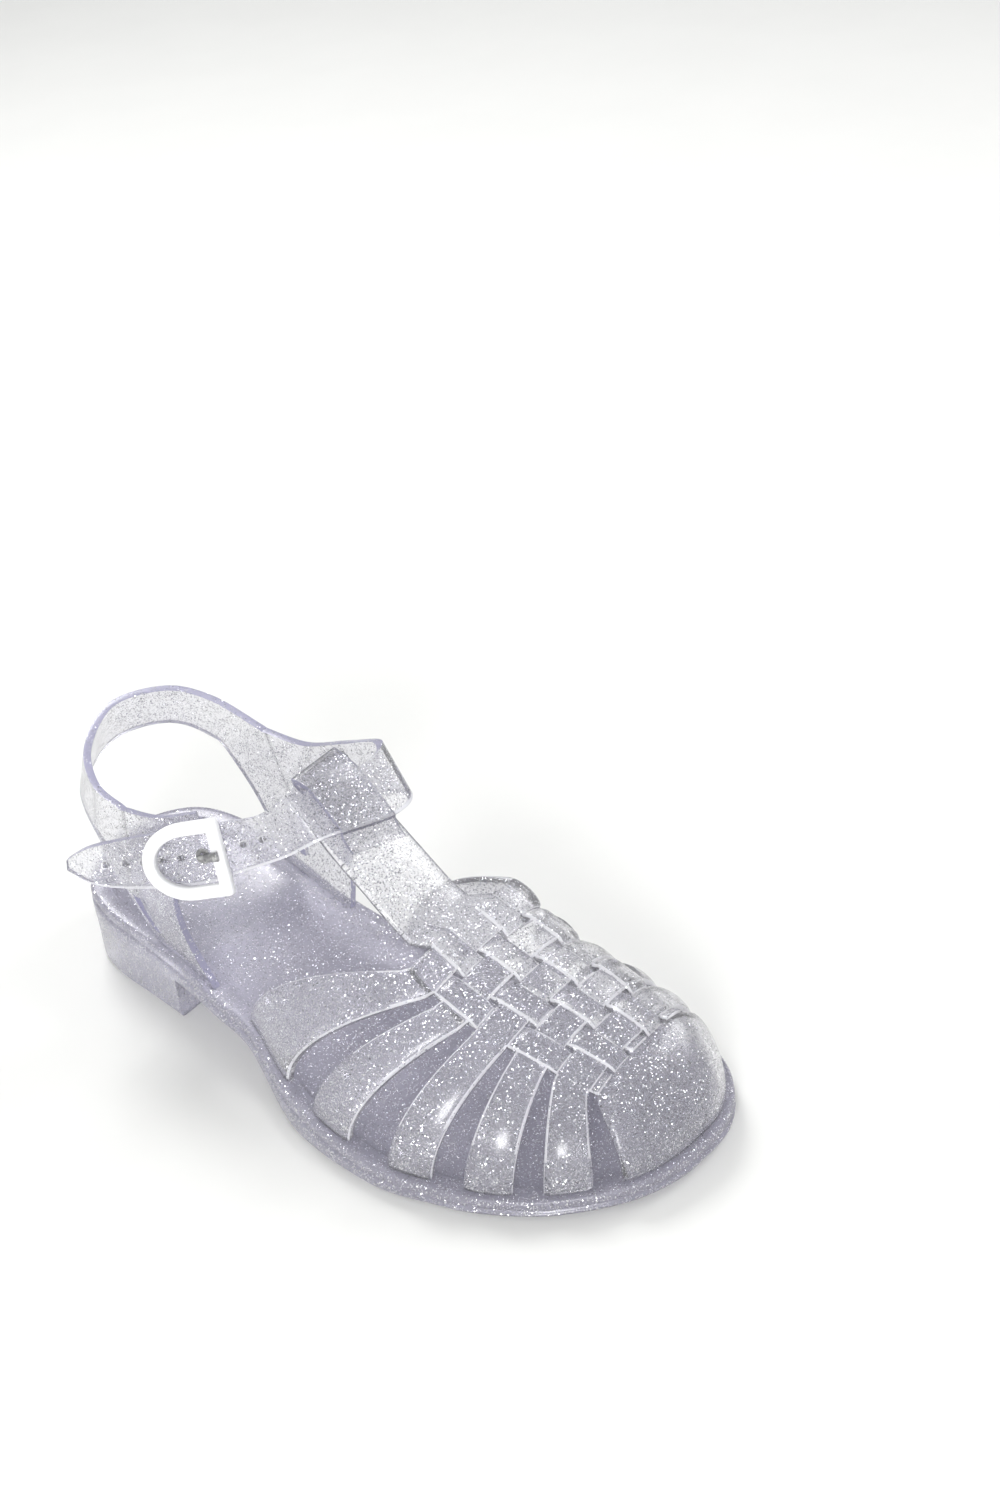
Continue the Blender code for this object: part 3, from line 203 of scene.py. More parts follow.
# Quarters, heel band and ankle strap, as one ribbon from the outer tab round the heel and over the
# instep to the free end. top_*, low_*: its two edges; x is a share of HEEL_WIDTH, y a share of
# SHOE_LENGTH from the middle towards the heel, z a share of COLLAR_HEIGHT. steps: cells to the next row.
RIBBON = rows_of("name top_x top_y top_z low_x low_y low_z steps",
    ("tab_tip", -0.300, 0.226, 0.922, -0.357, 0.210, 0.733, 3),
    ("outer_front", -0.414, 0.270, 0.900, -0.471, 0.238, 0.644, 5),
    ("outer_slit_a", -0.457, 0.317, 0.889, -0.507, 0.306, 0.622, 1),
    ("outer_slit_b", -0.457, 0.333, 0.889, -0.507, 0.321, 0.628, 4),
    ("outer_rear", -0.429, 0.389, 0.906, -0.464, 0.393, 0.711, 4),
    ("heel_outer", -0.286, 0.444, 0.950, -0.321, 0.456, 0.778, 4),
    ("heel_back", 0.000, 0.478, 0.978, 0.000, 0.490, 0.800, 4),
    ("heel_inner", 0.270, 0.446, 0.970, 0.300, 0.456, 0.785, 4),
    ("inner_rear", 0.385, 0.386, 0.940, 0.410, 0.386, 0.725, 5),
    ("inner_slit_b", 0.410, 0.300, 0.895, 0.430, 0.276, 0.610, 1),
    ("inner_slit_a", 0.412, 0.284, 0.890, 0.430, 0.254, 0.610, 5),
    ("inner_front", 0.425, 0.214, 0.910, 0.440, 0.164, 0.680, 4),
    ("strap_rise", 0.443, 0.143, 1.000, 0.450, 0.079, 0.833, 4),
    ("strap_turn", 0.450, 0.079, 1.078, 0.414, 0.024, 0.928, 4),
    ("loop_inner", 0.264, 0.067, 1.078, 0.264, 0.008, 0.933, 5),
    ("loop_outer", -0.136, 0.087, 1.111, -0.136, 0.034, 0.984, 3),
    ("strap_fall", -0.214, 0.131, 1.000, -0.243, 0.079, 0.889, 4),
    ("strap_front", -0.286, 0.171, 0.950, -0.364, 0.143, 0.783, 4),
    ("buckle_bar", -0.357, 0.198, 0.928, -0.429, 0.171, 0.739, 4),
    ("over_tab", -0.457, 0.250, 0.878, -0.529, 0.230, 0.680, 4),
    ("tail", -0.557, 0.310, 0.806, -0.600, 0.302, 0.612, 3),
    ("tail_end", -0.636, 0.351, 0.752, -0.657, 0.345, 0.602, 2),
    ("tail_tip", -0.693, 0.377, 0.690, -0.700, 0.377, 0.646, 0))

# Legs of the quarters, one row for each edge of a leg or slit: where it passes at LEG_MID of the way up
# to the band and where it meets the sole, as shares of SHOE_LENGTH.
LEG_EDGES = rows_of("name mid_y foot_y",
    ("outer_front", 0.222, 0.172), ("outer_slit_a", 0.290, 0.254),
    ("outer_slit_b", 0.306, 0.266), ("outer_rear", 0.338, 0.296),
    ("inner_rear", 0.316, 0.272), ("inner_slit_b", 0.252, 0.240),
    ("inner_slit_a", 0.232, 0.218), ("inner_front", 0.142, 0.134))


def hermite(points, t):
    """Smooth curve through points[i] at parameter i, without overshoot worth noting."""
    points = np.asarray(points, float)
    last = len(points) - 1
    i = int(min(max(math.floor(t), 0), last - 1))
    f = t - i
    before = points[max(i - 1, 0)]
    start, end = points[i], points[i + 1]
    after = points[min(i + 2, last)]
    lean_in = (end - before) * (0.5 if i > 0 else 1.0)
    lean_out = (after - start) * (0.5 if i + 2 <= last else 1.0)
    return ((2 * f**3 - 3 * f**2 + 1) * start + (f**3 - 2 * f**2 + f) * lean_in
            + (3 * f**2 - 2 * f**3) * end + (f**3 - f**2) * lean_out)


def read_table(table, key, at, column="along"):
    """Value of a table's column at a share, on a monotone cubic through its rows."""
    xs = [row[column] for row in table]
    ys = [row[key] for row in table]
    at = min(max(at, min(xs[0], xs[-1])), max(xs[0], xs[-1]))
    i = 0
    while i < len(xs) - 2 and at > xs[i + 1]:
        i += 1
    slopes = [(ys[k + 1] - ys[k]) / (xs[k + 1] - xs[k]) for k in range(len(xs) - 1)]

    def tangent(k):
        if k == 0 or k == len(xs) - 1:
            return slopes[0] if k == 0 else slopes[-1]
        if slopes[k - 1] * slopes[k] <= 0:
            return 0.0
        return 2 * slopes[k - 1] * slopes[k] / (slopes[k - 1] + slopes[k])

    width = xs[i + 1] - xs[i]
    f = (at - xs[i]) / width
    return ((2 * f**3 - 3 * f**2 + 1) * ys[i] + (f**3 - 2 * f**2 + f) * width * tangent(i)
            + (3 * f**2 - 2 * f**3) * ys[i + 1] + (f**3 - f**2) * width * tangent(i + 1))


def along_to_y(along):
    return (0.5 - along) * SHOE_LENGTH


def y_to_along(y):
    return 0.5 - y / SHOE_LENGTH


def edge_points(table, side):
    """Corner points of one half of the sole's outline."""
    return [(side * (row["heel"] * HEEL_WIDTH + row["ball"] * BALL_WIDTH), along_to_y(row["along"]))
            for row in table]


class Edge:
    """Half of the sole's outline, read by the share of its length from the heel to the toe."""

    def __init__(self, table, side, fine=12):
        corners = edge_points(table, side)
        count = (len(corners) - 1) * fine
        self.points = np.array([hermite(corners, k / fine) for k in range(count + 1)])
        runs = np.hypot(*np.diff(self.points, axis=0).T)
        self.length = runs.sum()
        self.shares = np.concatenate([[0], np.cumsum(runs)]) / self.length
        self.side = side

    def on_edge(self, share):
        return np.array([np.interp(share, self.shares, self.points[:, axis]) for axis in (0, 1)])

    def at(self, share, inset=0.0):
        ahead, behind = min(share + 0.004, 1.0), max(share - 0.004, 0.0)
        dx, dy = self.on_edge(ahead) - self.on_edge(behind)
        if share <= 0.0:
            dx, dy = self.side, 0.0
        if share >= 1.0:
            dx, dy = -self.side, 0.0
        length = math.hypot(dx, dy)
        inward = np.array([self.side * dy / length, -self.side * dx / length])
        return self.on_edge(share) + inset * inward

    def share_at_y(self, y):
        return float(np.interp(-y, -self.points[:, 1], self.shares))


OUTER = Edge(LATERAL_EDGE, -1)
INNER = Edge(MEDIAL_EDGE, 1)


def sole_top(y):
    along = y_to_along(y)
    blend = read_table(SOLE_PROFILE, "top", along)
    spring = TOE_SPRING * read_table(SOLE_PROFILE, "spring", along)
    return SOLE_AT_BALL + (SOLE_AT_HEEL - SOLE_AT_BALL) * blend + spring


def ground(y):
    """Height of the floor, in the last's own level: the shoe is built on its last and then set down."""
    return GROUND_AT_BALL - GROUND_SLOPE * (y - along_to_y(BALL_ALONG))


def sole_under(y):
    along = y_to_along(y)
    lift = HEEL_LIFT * read_table(SOLE_PROFILE, "lift", along)
    return ground(y) + lift + UNDER_SPRING * read_table(SOLE_PROFILE, "spring", along)


def section_plan(outer_foot, inner_foot, crest_y, side):
    """Plan of one half of a line over the last: crest x, panel edge distance, foot and whole length."""
    edge, foot = (OUTER, outer_foot) if side < 0 else (INNER, inner_foot)
    along = y_to_along(crest_y)
    crest_x = read_table(CREST, "across", along) * BALL_WIDTH
    panel = read_table(CREST, "weave", along) * BALL_WIDTH
    foot_at = edge.at(foot, UPPER_INSET)
    skirt = math.hypot(foot_at[0] - (crest_x + side * panel), foot_at[1] - crest_y)
    return crest_x, panel, foot_at, panel + skirt


def cross_section(outer_foot, inner_foot, crest_y, turn):
    """Point of the last on the line from the outer foot (turn -1) over the crest (0) to the inner foot (1).

    Each foot is a share of the sole's edge. The line runs straight across the woven panel and
    then swings to its foot.
    """
    side, power = (-1, OUTER_POWER) if turn < 0 else (1, INNER_POWER)
    crest_x, panel, foot_at, length = section_plan(outer_foot, inner_foot, crest_y, side)
    crest_z = read_table(CREST, "rise", y_to_along(crest_y)) * INSTEP_HEIGHT
    foot_z = sole_top(foot_at[1]) + SEAT_GAP
    angle = (1 - abs(turn)) * math.pi / 2
    distance = length * math.cos(angle) ** (2 / power)
    climb = math.sin(angle) ** (2 / CROWN_POWER)
    off_panel = max(0.0, distance - panel) / (length - panel)
    x = crest_x + side * min(distance, panel) + (foot_at[0] - crest_x - side * panel) * off_panel
    y = crest_y + (foot_at[1] - crest_y) * off_panel ** SWING_POWER
    return np.array([x, y, foot_z + (crest_z - foot_z) * climb])


def turn_at(outer_foot, inner_foot, crest_y, distance):
    """The turn at which the line is a signed distance from the crest, measured across the panel."""
    side, power = (-1, OUTER_POWER) if distance < 0 else (1, INNER_POWER)
    length = section_plan(outer_foot, inner_foot, crest_y, side)[3]
    angle = math.acos((abs(distance) / length) ** (power / 2))
    return side * (1 - angle / (math.pi / 2))


def cap_point(start, share, down):
    """Point of the toe cap on the line from its rear edge (0) down to the sole's edge (1)."""
    outer_start, inner_start = BANDS[-1]["outer_rear"], BANDS[-1]["inner_rear"]
    outer_run, inner_run = 1 - outer_start, 1 - inner_start
    reach = share * (outer_run + inner_run)
    if reach <= outer_run:
        foot = OUTER.at(outer_start + reach, UPPER_INSET)
    else:
        foot = INNER.at(1 - (reach - outer_run), UPPER_INSET)
    foot_z = sole_top(foot[1]) + SEAT_GAP
    reach = math.sin(down * math.pi / 2) ** (2 / CAP_RISE_POWER)
    climb = (1 - reach ** CAP_RISE_POWER) ** (1 / CAP_DROP_POWER)
    plan = start[:2] + (foot - start[:2]) * reach
    return np.array([*plan, foot_z + (start[2] - foot_z) * climb])


def cap_shares(row):
    """Where each line of the toe cap meets the sole, as shares of the cap's edge."""
    runs = [0.0]
    for a, b in zip(row, row[1:]):
        runs.append(runs[-1] + np.linalg.norm((b - a)[:2]))
    return [run / runs[-1] for run in runs]


def fine_rows(table, steps):
    """Rows between the rows of a table, on a smooth curve."""
    keys = [key for key in table[0] if key not in ("name", "steps")]
    values = np.array([[row[key] for key in keys] for row in table])
    count = (len(table) - 1) * steps
    return [dict(zip(keys, hermite(values, k / steps))) for k in range(count + 1)]


def ribbon_edges():
    """Top and low edge points of the ribbon, with the named rows' places in the list."""
    scale = np.array([HEEL_WIDTH, SHOE_LENGTH, COLLAR_HEIGHT])
    top, low = ([np.array([row[edge + axis] for axis in ("_x", "_y", "_z")]) * scale for row in RIBBON]
                for edge in ("top", "low"))
    tops, lows, named = [], [], {}
    for i, row in enumerate(RIBBON):
        named[row["name"]] = len(tops)
        steps = max(row["steps"] * RIBBON_FINE, 1)
        for k in range(steps):
            share = i + k / steps
            tops.append(hermite(top, share))
            lows.append(hermite(low, share))
    return np.array(tops), np.array(lows), named


def leg_point(start, leg, side, down):
    """Point of a leg's edge, from the band (0) to the sole (1)."""
    edge = INNER if side > 0 else OUTER
    foot_y = leg["foot_y"] * SHOE_LENGTH
    foot = edge.at(edge.share_at_y(foot_y), UPPER_INSET)
    foot_z = sole_top(foot[1]) + SEAT_GAP
    mid_y = leg["mid_y"] * SHOE_LENGTH
    y = (start[1] * (down - 1 + LEG_MID) * (down - 1) / (1 - LEG_MID)
         + mid_y * down * (down - 1) / ((1 - LEG_MID) * -LEG_MID)
         + foot[1] * down * (down - 1 + LEG_MID) / LEG_MID)
    level = edge.at(edge.share_at_y(y), UPPER_INSET)
    x = start[0] + (level[0] - start[0]) * down + side * LEG_BULGE * math.sin(math.pi * down)
    return np.array([x, y, start[2] + (foot_z - start[2]) * down])


def leg_between(first, second, share):
    """A line of a leg between two of its edges."""
    return {key: first[key] + (second[key] - first[key]) * share for key in ("mid_y", "foot_y")}


def loop_line(x, tops, lows, named):
    """Path of the loop flap at one x: from the T-strap's fold over the ankle strap and down in front."""
    start, end = named["loop_inner"], named["loop_outer"]
    order = sorted(range(start, end + 1), key=lambda i: tops[i][0])
    at = lambda points, axis: np.interp(x, [points[i][0] for i in order], [points[i][axis] for i in order])
    top = np.array([x, at(tops, 1), at(tops, 2)])
    low = np.array([x, at(lows, 1), at(lows, 2)])
    down = (low - top) / np.linalg.norm(low - top)
    out = np.array([0.0, down[2], -down[1]])
    fold_y = along_to_y(T_STRAP[-1]["along"])
    fold = np.array([x, fold_y, T_STRAP[-1]["rise"] * COLLAR_HEIGHT])
    lift = out * (LOOP_WALL * 0.75)
    turns = [fold + np.array(offset) for offset in ((0.0, -3.0, -4.0), (0.0, 0.4, -0.6), (0.0, 0.2, 1.6))]
    return [*turns,
            (top + fold) / 2 + lift * 1.2, top + down + lift, (top + low) / 2 + lift * 1.2,
            low - down * 0.5 + lift, low + down * 2.0 - out * 0.6, low + down * LOOP_TAB - out * 1.9]


class StrapPlace:
    """Flat seat of the buckle over the ankle strap: u towards the heel, v up, out away from the foot."""

    def __init__(self, tops, lows, named):
        middle = (tops + lows) / 2
        bar, over = named["buckle_bar"], named["over_tab"]
        centre = (bar + over) // 2
        self.u = (middle[over] - middle[bar]) / np.linalg.norm(middle[over] - middle[bar])
        rise = tops[centre] - lows[centre]
        rise = rise - self.u * rise.dot(self.u)
        self.v = rise / np.linalg.norm(rise)
        self.out = np.cross(self.v, self.u)
        self.origin = middle[centre] - self.v * BUCKLE_DROP
        span = range(named["strap_fall"], named["tail_end"] + 1)
        near = [p for i in span for p in (tops[i], lows[i], middle[i])
                if abs((p - self.origin).dot(self.u)) < BUCKLE_LENGTH / 2 + 3]
        height = max((p - self.origin).dot(self.out) for p in near)
        self.origin = self.origin + self.out * (height + SEAT_GAP)

    def at(self, u, v, out):
        return self.origin + self.u * u + self.v * v + self.out * out


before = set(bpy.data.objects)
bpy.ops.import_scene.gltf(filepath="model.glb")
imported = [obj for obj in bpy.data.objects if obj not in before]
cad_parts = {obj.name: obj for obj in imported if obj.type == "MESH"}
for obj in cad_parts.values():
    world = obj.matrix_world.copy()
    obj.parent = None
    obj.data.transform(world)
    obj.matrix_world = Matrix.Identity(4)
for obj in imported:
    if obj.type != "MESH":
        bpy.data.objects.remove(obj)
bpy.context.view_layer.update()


def add_face(faces, corners):
    """Add a face without its repeated corners, and say whether one was left."""
    face = [c for i, c in enumerate(corners) if c not in corners[:i]]
    if len(face) > 2:
        faces.append(face)
    return len(face) > 2


def tube_faces(count, rings, closed=False):
    """Quads between rings of points that follow each other."""
    return [[j * count + k, j * count + (k + 1) % count,
             (j + 1) % rings * count + (k + 1) % count, (j + 1) % rings * count + k]
            for j in range(rings if closed else rings - 1) for k in range(count)]


class Sheet:
    """Open sheet of quads built from named rows of points, with shared corners merged."""

    def __init__(self):
        self.points = []
        self.faces = []
        self.index = {}

    def corner(self, key, point):
        if key not in self.index:
            self.index[key] = len(self.points)
            self.points.append(point)
        return self.index[key]

    def cell(self, i, r, at):
        """Quad between lines i and i + 1 and rows r and r + 1; at gives the key and place of a corner."""
        corners = ((i, r), (i + 1, r), (i + 1, r + 1), (i, r + 1))
        add_face(self.faces, [self.corner(*at(a, b)) for a, b in corners])


class Shell:
    """Closed wall: an outer point and an inner point under each key, and a rim round every open edge."""

    def __init__(self):
        self.outer = []
        self.inner = []
        self.index = {}
        self.cells = []
        # Per cell: whether it takes the second material, the painted edge highlight.
        self.edges = []

    def put(self, key, outer, inner):
        if key not in self.index:
            self.index[key] = len(self.outer)
            self.outer.append(outer)
            self.inner.append(inner)

    def cell(self, *keys, edge=False):
        if add_face(self.cells, [self.index[k] for k in keys]):
            self.edges.append(edge)

    def build(self, name, mat, edge_highlight_mat):
        count = len(self.outer)
        edges = {(f[i], f[(i + 1) % len(f)]) for f in self.cells for i in range(len(f))}
        rim = [[b, a, a + count, b + count] for a, b in edges if (b, a) not in edges]
        faces = self.cells + [[c + count for c in reversed(f)] for f in self.cells] + sorted(rim)
        obj = piece(name, self.outer + self.inner, faces, mat)
        obj.data.materials.append(edge_highlight_mat)
        # Cells marked as edges take the second material, a lighter, murkier plastic painted on as the
        # highlight that edges catch.
        for i, face in enumerate(obj.data.polygons):
            on_edge = i < len(self.cells) and self.edges[i]
            face.material_index = 1 if on_edge else 0
        return obj


def piece(name, points, faces, mat):
    """Object from points in millimetres, with smooth faces turned outwards."""
    mesh = bpy.data.meshes.new(name)
    mesh.from_pydata([tuple(float(c) * MM for c in p) for p in points], [], faces)
    mesh.materials.append(mat)
    obj = bpy.data.objects.new(name, mesh)
    bpy.context.scene.collection.objects.link(obj)
    return turn_faces_out(obj)


def turn_faces_out(obj, away=None):
    """Make the faces agree; on an open sheet their sum then leans away from the given place."""
    mesh = bmesh.new()
    mesh.from_mesh(obj.data)
    bmesh.ops.recalc_face_normals(mesh, faces=mesh.faces)
    if away is not None:
        centre = Vector(away) * MM
        lean = sum(f.normal.dot(f.calc_center_median() - centre) * f.calc_area() for f in mesh.faces)
        if lean < 0:
            bmesh.ops.reverse_faces(mesh, faces=mesh.faces)
    for face in mesh.faces:
        face.smooth = True
    mesh.to_mesh(obj.data)
    mesh.free()
    return obj


def apply_modifiers(obj):
    """Replace an object's mesh by what its modifiers make of it."""
    bpy.context.view_layer.update()
    evaluated = obj.evaluated_get(bpy.context.evaluated_depsgraph_get())
    mesh = bpy.data.meshes.new_from_object(evaluated)
    obj.modifiers.clear()
    obj.data = mesh
    return obj


def wall(obj, thickness, rounding, rim_mat):
    """Grow an open sheet inwards into a wall and round its edges."""
    obj.data.materials.append(rim_mat)
    solid = obj.modifiers.new("wall", "SOLIDIFY")
    solid.thickness = thickness * MM
    solid.offset = -1.0
    solid.material_offset_rim = 1
    bevel = obj.modifiers.new("rounded edges", "BEVEL")
    bevel.width = rounding * MM
    bevel.segments = ROUND_SEGMENTS
    bevel.limit_method = "ANGLE"
    bevel.angle_limit = math.radians(ROUND_ANGLE)
    return apply_modifiers(obj)


def combine(obj, other, operation):
    """Cut an object by another or join them, and remove the other."""
    mod = obj.modifiers.new("cut", "BOOLEAN")
    mod.object = other
    mod.operation = operation
    mod.solver = "EXACT"
    apply_modifiers(obj)
    bpy.data.objects.remove(other, do_unlink=True)
    return obj


def edge_fall(distance):
    """How far a rounded edge drops at a distance from it."""
    if distance >= EDGE_ROUND:
        return 0.0
    return math.sqrt(EDGE_ROUND ** 2 - (EDGE_ROUND - distance) ** 2) - EDGE_ROUND


def crown(share, amount, width):
    """Height of a domed strip at a share of its width."""
    return amount * (1 - (2 * share - 1) ** 2) ** 0.8 + edge_fall(min(share, 1 - share) * width)


def cage_columns():
    """Columns across the cage: (kind, number, share, spot on the panel or share of the side)."""
    columns = [("outer", 0, k / SIDE_STEPS, k / SIDE_STEPS) for k in range(SIDE_STEPS)]
    pitch = 2.0 / COLUMNS
    for k in range(COLUMNS):
        start = -1 + k * pitch + pitch * COLUMN_GAP / 2
        end = -1 + (k + 1) * pitch - pitch * COLUMN_GAP / 2
        columns += [("strip", k, t, start + (end - start) * t) for t in ACROSS]
        if k + 1 < COLUMNS:
            columns += [("gap", k, t, end + pitch * COLUMN_GAP * t) for t in GAP_ACROSS]
    columns += [("inner", 0, k / SIDE_STEPS, k / SIDE_STEPS) for k in range(1, SIDE_STEPS + 1)]
    return columns


def cage_rows():
    """Rows from the throat to the toe cap: (kind, band number, share of its width, (feet, crest))."""
    rows = []

    def add(kind, number, share, first, second):
        outer, inner, crest = (a + (b - a) * share for a, b in zip(first, second))
        rows.append((kind, number, share, (outer, inner, along_to_y(crest))))

    edges = [[[band[k + end] for k in ("outer", "inner", "crest")] for end in ("_rear", "_front")]
             for band in BANDS]
    for number, (rear, front) in enumerate(edges):
        if number:
            for share in BETWEEN_BANDS:
                add("between", number - 1, share, edges[number - 1][1], rear)
        for share in (0.0,) if number == len(BANDS) - 1 else ACROSS:
            add("band", number, share, rear, front)
    return rows


def cage_turns(line, columns):
    """Turn of each column on one line."""
    outer_foot, inner_foot, crest_y = line
    half = read_table(CREST, "weave", y_to_along(crest_y)) * BALL_WIDTH
    spots = [c[3] for c in columns if c[0] in ("strip", "gap")]
    first = turn_at(outer_foot, inner_foot, crest_y, spots[0] * half)
    last = turn_at(outer_foot, inner_foot, crest_y, spots[-1] * half)
    turns = []
    for kind, _, share, spot in columns:
        if kind == "outer":
            turns.append(-1 + (first + 1) * share)
        elif kind == "inner":
            turns.append(last + (1 - last) * share)
        else:
            turns.append(turn_at(outer_foot, inner_foot, crest_y, spot * half))
    return turns


def strip_over(column, band):
    """Whether a lengthwise strip passes over a band or under it."""
    return (column + band) % 2 == 1


def cage_height(row, column):
    """Height of the outer face over the last: domed bands and strips that take turns on top."""
    kind, band, s, _ = row
    side, strip, t, _ = column
    if band == len(BANDS) - 1:
        return CAP_CROWN * CAP_START + edge_fall(0.0) * CAP_SOFT
    held = side in ("strip", "gap") and STRIP_FIRST <= strip <= STRIP_LAST and band == 0 and kind == "band"
    across = 0.5 + s / 2 if held else s
    if side in ("outer", "inner"):
        up = t if side == "outer" else 1 - t
        return crown(s, BAND_CROWN * (0.35 + 0.65 * min(1.0, 2.2 * up)), BAND_WIDTH)
    if kind == "band" and side == "strip":
        if strip_over(strip, band):
            return RELIEF + crown(t, STRIP_CROWN, STRIP_WIDTH)
        return SUNK * RELIEF + crown(across, STRIP_CROWN, BAND_WIDTH)
    if kind == "band":
        low, high = 0.0, SUNK * RELIEF
        ends = (low, high) if strip_over(strip, band) else (high, low)
        return ends[0] + (ends[1] - ends[0]) * t + crown(across, STRIP_CROWN, BAND_WIDTH)
    low, high = GAP_DIP, RELIEF
    ends = (high, low) if strip_over(strip, band) else (low, high)
    blend = s * s * (3 - 2 * s)
    return ends[0] + (ends[1] - ends[0]) * blend + crown(t, STRIP_CROWN, STRIP_WIDTH)


def grid_normals(grid, centre_of):
    """Outward direction at each point of a grid of points."""
    grid = np.asarray(grid)
    across = np.gradient(grid, axis=1)
    along = np.gradient(grid, axis=0)
    normals = np.cross(across, along)
    normals /= np.maximum(np.linalg.norm(normals, axis=2, keepdims=True), 1e-9)
    for i in range(grid.shape[0]):
        away = grid[i] - np.asarray(centre_of(i))
        flip = np.sum(normals[i] * away, axis=1) < 0
        normals[i][flip] *= -1
    return normals


def seated(point):
    """Keep a point of the upper on its seat over the sole's rim."""
    return np.array([point[0], point[1], max(point[2], sole_top(point[1]) + SEAT_GAP)])


def steep(heights, places):
    """Whether a cell's outer face falls steeply, as at a rounded edge or a step of the weave; such cells get
    the painted edge highlight.
    """
    for a, b in zip(range(4), (1, 2, 3, 0)):
        run = np.linalg.norm(places[a] - places[b])
        if abs(heights[a] - heights[b]) > STEEP * max(run, 0.05):
            return True
    return False


def build_cage(mat, edge_highlight_mat):
    """Woven cage, toe cap and T-strap as one wall."""
    columns, rows = cage_columns(), cage_rows()
    grid = []
    for _, _, _, line in rows:
        grid.append([cross_section(*line[:2], line[2], turn) for turn in cage_turns(line, columns)])
    crests = [row[3][2] for row in rows]
    normals = grid_normals(grid, lambda i: (read_table(CREST, "across", y_to_along(crests[i])) * BALL_WIDTH,
                                            crests[i], SOLE_AT_BALL))
    shell = Shell()
    for i, row in enumerate(rows):
        for k, column in enumerate(columns):
            p, n = grid[i][k], normals[i][k]
            shell.put((i, k), seated(p + n * cage_height(row, column)), seated(p - n * WALL))
    for i in range(len(rows) - 1):
        for k in range(len(columns) - 1):
            solid_row = rows[i][0] == "band" and rows[i + 1][0] == "band"
            in_strip = columns[k][0] == "strip" and columns[k + 1][0] == "strip"
            if solid_row or in_strip:
                keys = ((i, k), (i, k + 1), (i + 1, k + 1), (i + 1, k))
                heights = [cage_height(rows[a], columns[b]) for a, b in keys]
                # Steep cells get the edge plastic: a painted highlight along rounded edges and weave steps.
                shell.cell(*keys, edge=steep(heights, [grid[a][b] for a, b in keys]))
    add_cap(shell, grid[-1], len(rows) - 1)
    add_t_strap(shell, columns)
    return shell.build("cage", mat, edge_highlight_mat)


def add_cap(shell, rear, last_row):
    """Toe cap from the last line down to the sole."""
    shares = cap_shares(rear)
    grid = [rear] + [[cap_point(rear[k], shares[k], down) for k in range(len(rear))] for down in CAP_DOWN]
    crest = rear[len(rear) // 2]
    normals = grid_normals(grid, lambda i: (crest[0], crest[1] + 12.0, SOLE_AT_BALL))
    ends = (0, len(rear) - 1)
    for i, down in enumerate(CAP_DOWN, start=1):
        fall = edge_fall(down * CAP_RUN)
        for k in range(len(rear)):
            p, n = grid[i][k], normals[i][k]
            height = CAP_CROWN * min(1.0, CAP_START + down * 4) * (1 - down ** 3) + fall * CAP_SOFT
            if k not in ends:
                shell.put(("cap", i, k), seated(p + n * height), seated(p - n * WALL))
    key = lambda i, k: (last_row, k) if i == 0 or k in ends else ("cap", i, k)
    for i in range(len(CAP_DOWN)):
        for k in range(len(rear) - 1):
            shell.cell(key(i, k), key(i, k + 1), key(i + 1, k + 1), key(i + 1, k))


def add_t_strap(shell, columns):
    """Continue the middle strips up the instep."""
    chosen = [k for k, (kind, number, _, _) in enumerate(columns)
              if (kind == "strip" and STRIP_FIRST <= number <= STRIP_LAST)
              or (kind == "gap" and STRIP_FIRST <= number < STRIP_LAST)]
    spots = [columns[k][3] for k in chosen]
    widest = max(abs(s) for s in spots)
    lines = []
    for row in fine_rows(T_STRAP, T_ROWS):
        half, top = row["half"] * BALL_WIDTH, row["rise"] * COLLAR_HEIGHT
        lines.append([np.array([row["across"] * BALL_WIDTH + s / widest * half, along_to_y(row["along"]),
                                top - T_CROWN * (s / widest) ** 2]) for s in spots])
    normals = grid_normals(lines, lambda i: (lines[i][0][0] + 14.0, lines[i][0][1], 20.0))
    below = [(0, k) for k in chosen]
    for j, line in enumerate(lines):
        here = []
        for i, point in enumerate(line):
            share = (spots[i] / widest + 1) / 2
            height = crown(share, STRAP_CROWN, 2 * widest * PANEL_HALF)
            shell.put(("t", j, i), point + normals[j][i] * height, point - normals[j][i] * WALL)
            here.append(("t", j, i))
        for i in range(len(line) - 1):
            shell.cell(here[i], here[i + 1], below[i + 1], below[i])
        below = here


def build_ribbon(mat, rim_mat, edge_highlight_mat):
    """Heel band, quarters and ankle strap as one wall, with the row of prong holes."""
    sheet = Sheet()
    tops, lows, named = ribbon_edges()
    at = lambda a, b: (("r", a, b), tops[a] + (lows[a] - tops[a]) * RIBBON_DOWN[b])
    for i in range(len(tops) - 1):
        for r in range(RIBBON_ROWS):
            sheet.cell(i, r, at)
    add_legs(sheet, lows, named)
    ribbon = piece("ankle_strap_and_quarters", sheet.points, sheet.faces, mat)
    turn_faces_out(ribbon, (0, 0.25 * SHOE_LENGTH, 0.5 * COLLAR_HEIGHT))
    # The lowest row of the strap, from the inner front onwards, takes the third material, the edge plastic
    # appended below: a painted highlight along the strap's lower edge.
    for i in range(named["inner_front"], len(tops) - 1):
        ribbon.data.polygons[(i + 1) * RIBBON_ROWS - 1].material_index = 2
    wall(ribbon, WALL, RIBBON_ROUND, rim_mat)
    ribbon.data.materials.append(edge_highlight_mat)
    seat_on_sole(ribbon)
    cut_prong_holes(ribbon, tops, lows, named)
    smooth(ribbon)
    return ribbon, tops, lows, named


def smooth(obj):
    for face in obj.data.polygons:
        face.use_smooth = True
    return obj


def seat_on_sole(obj):
    """Lift whatever lies under the rim's top onto its seat."""
    for vertex in obj.data.vertices:
        seat = (sole_top(vertex.co.y / MM) + SEAT_GAP) * MM
        vertex.co.z = max(vertex.co.z, seat)
    return obj


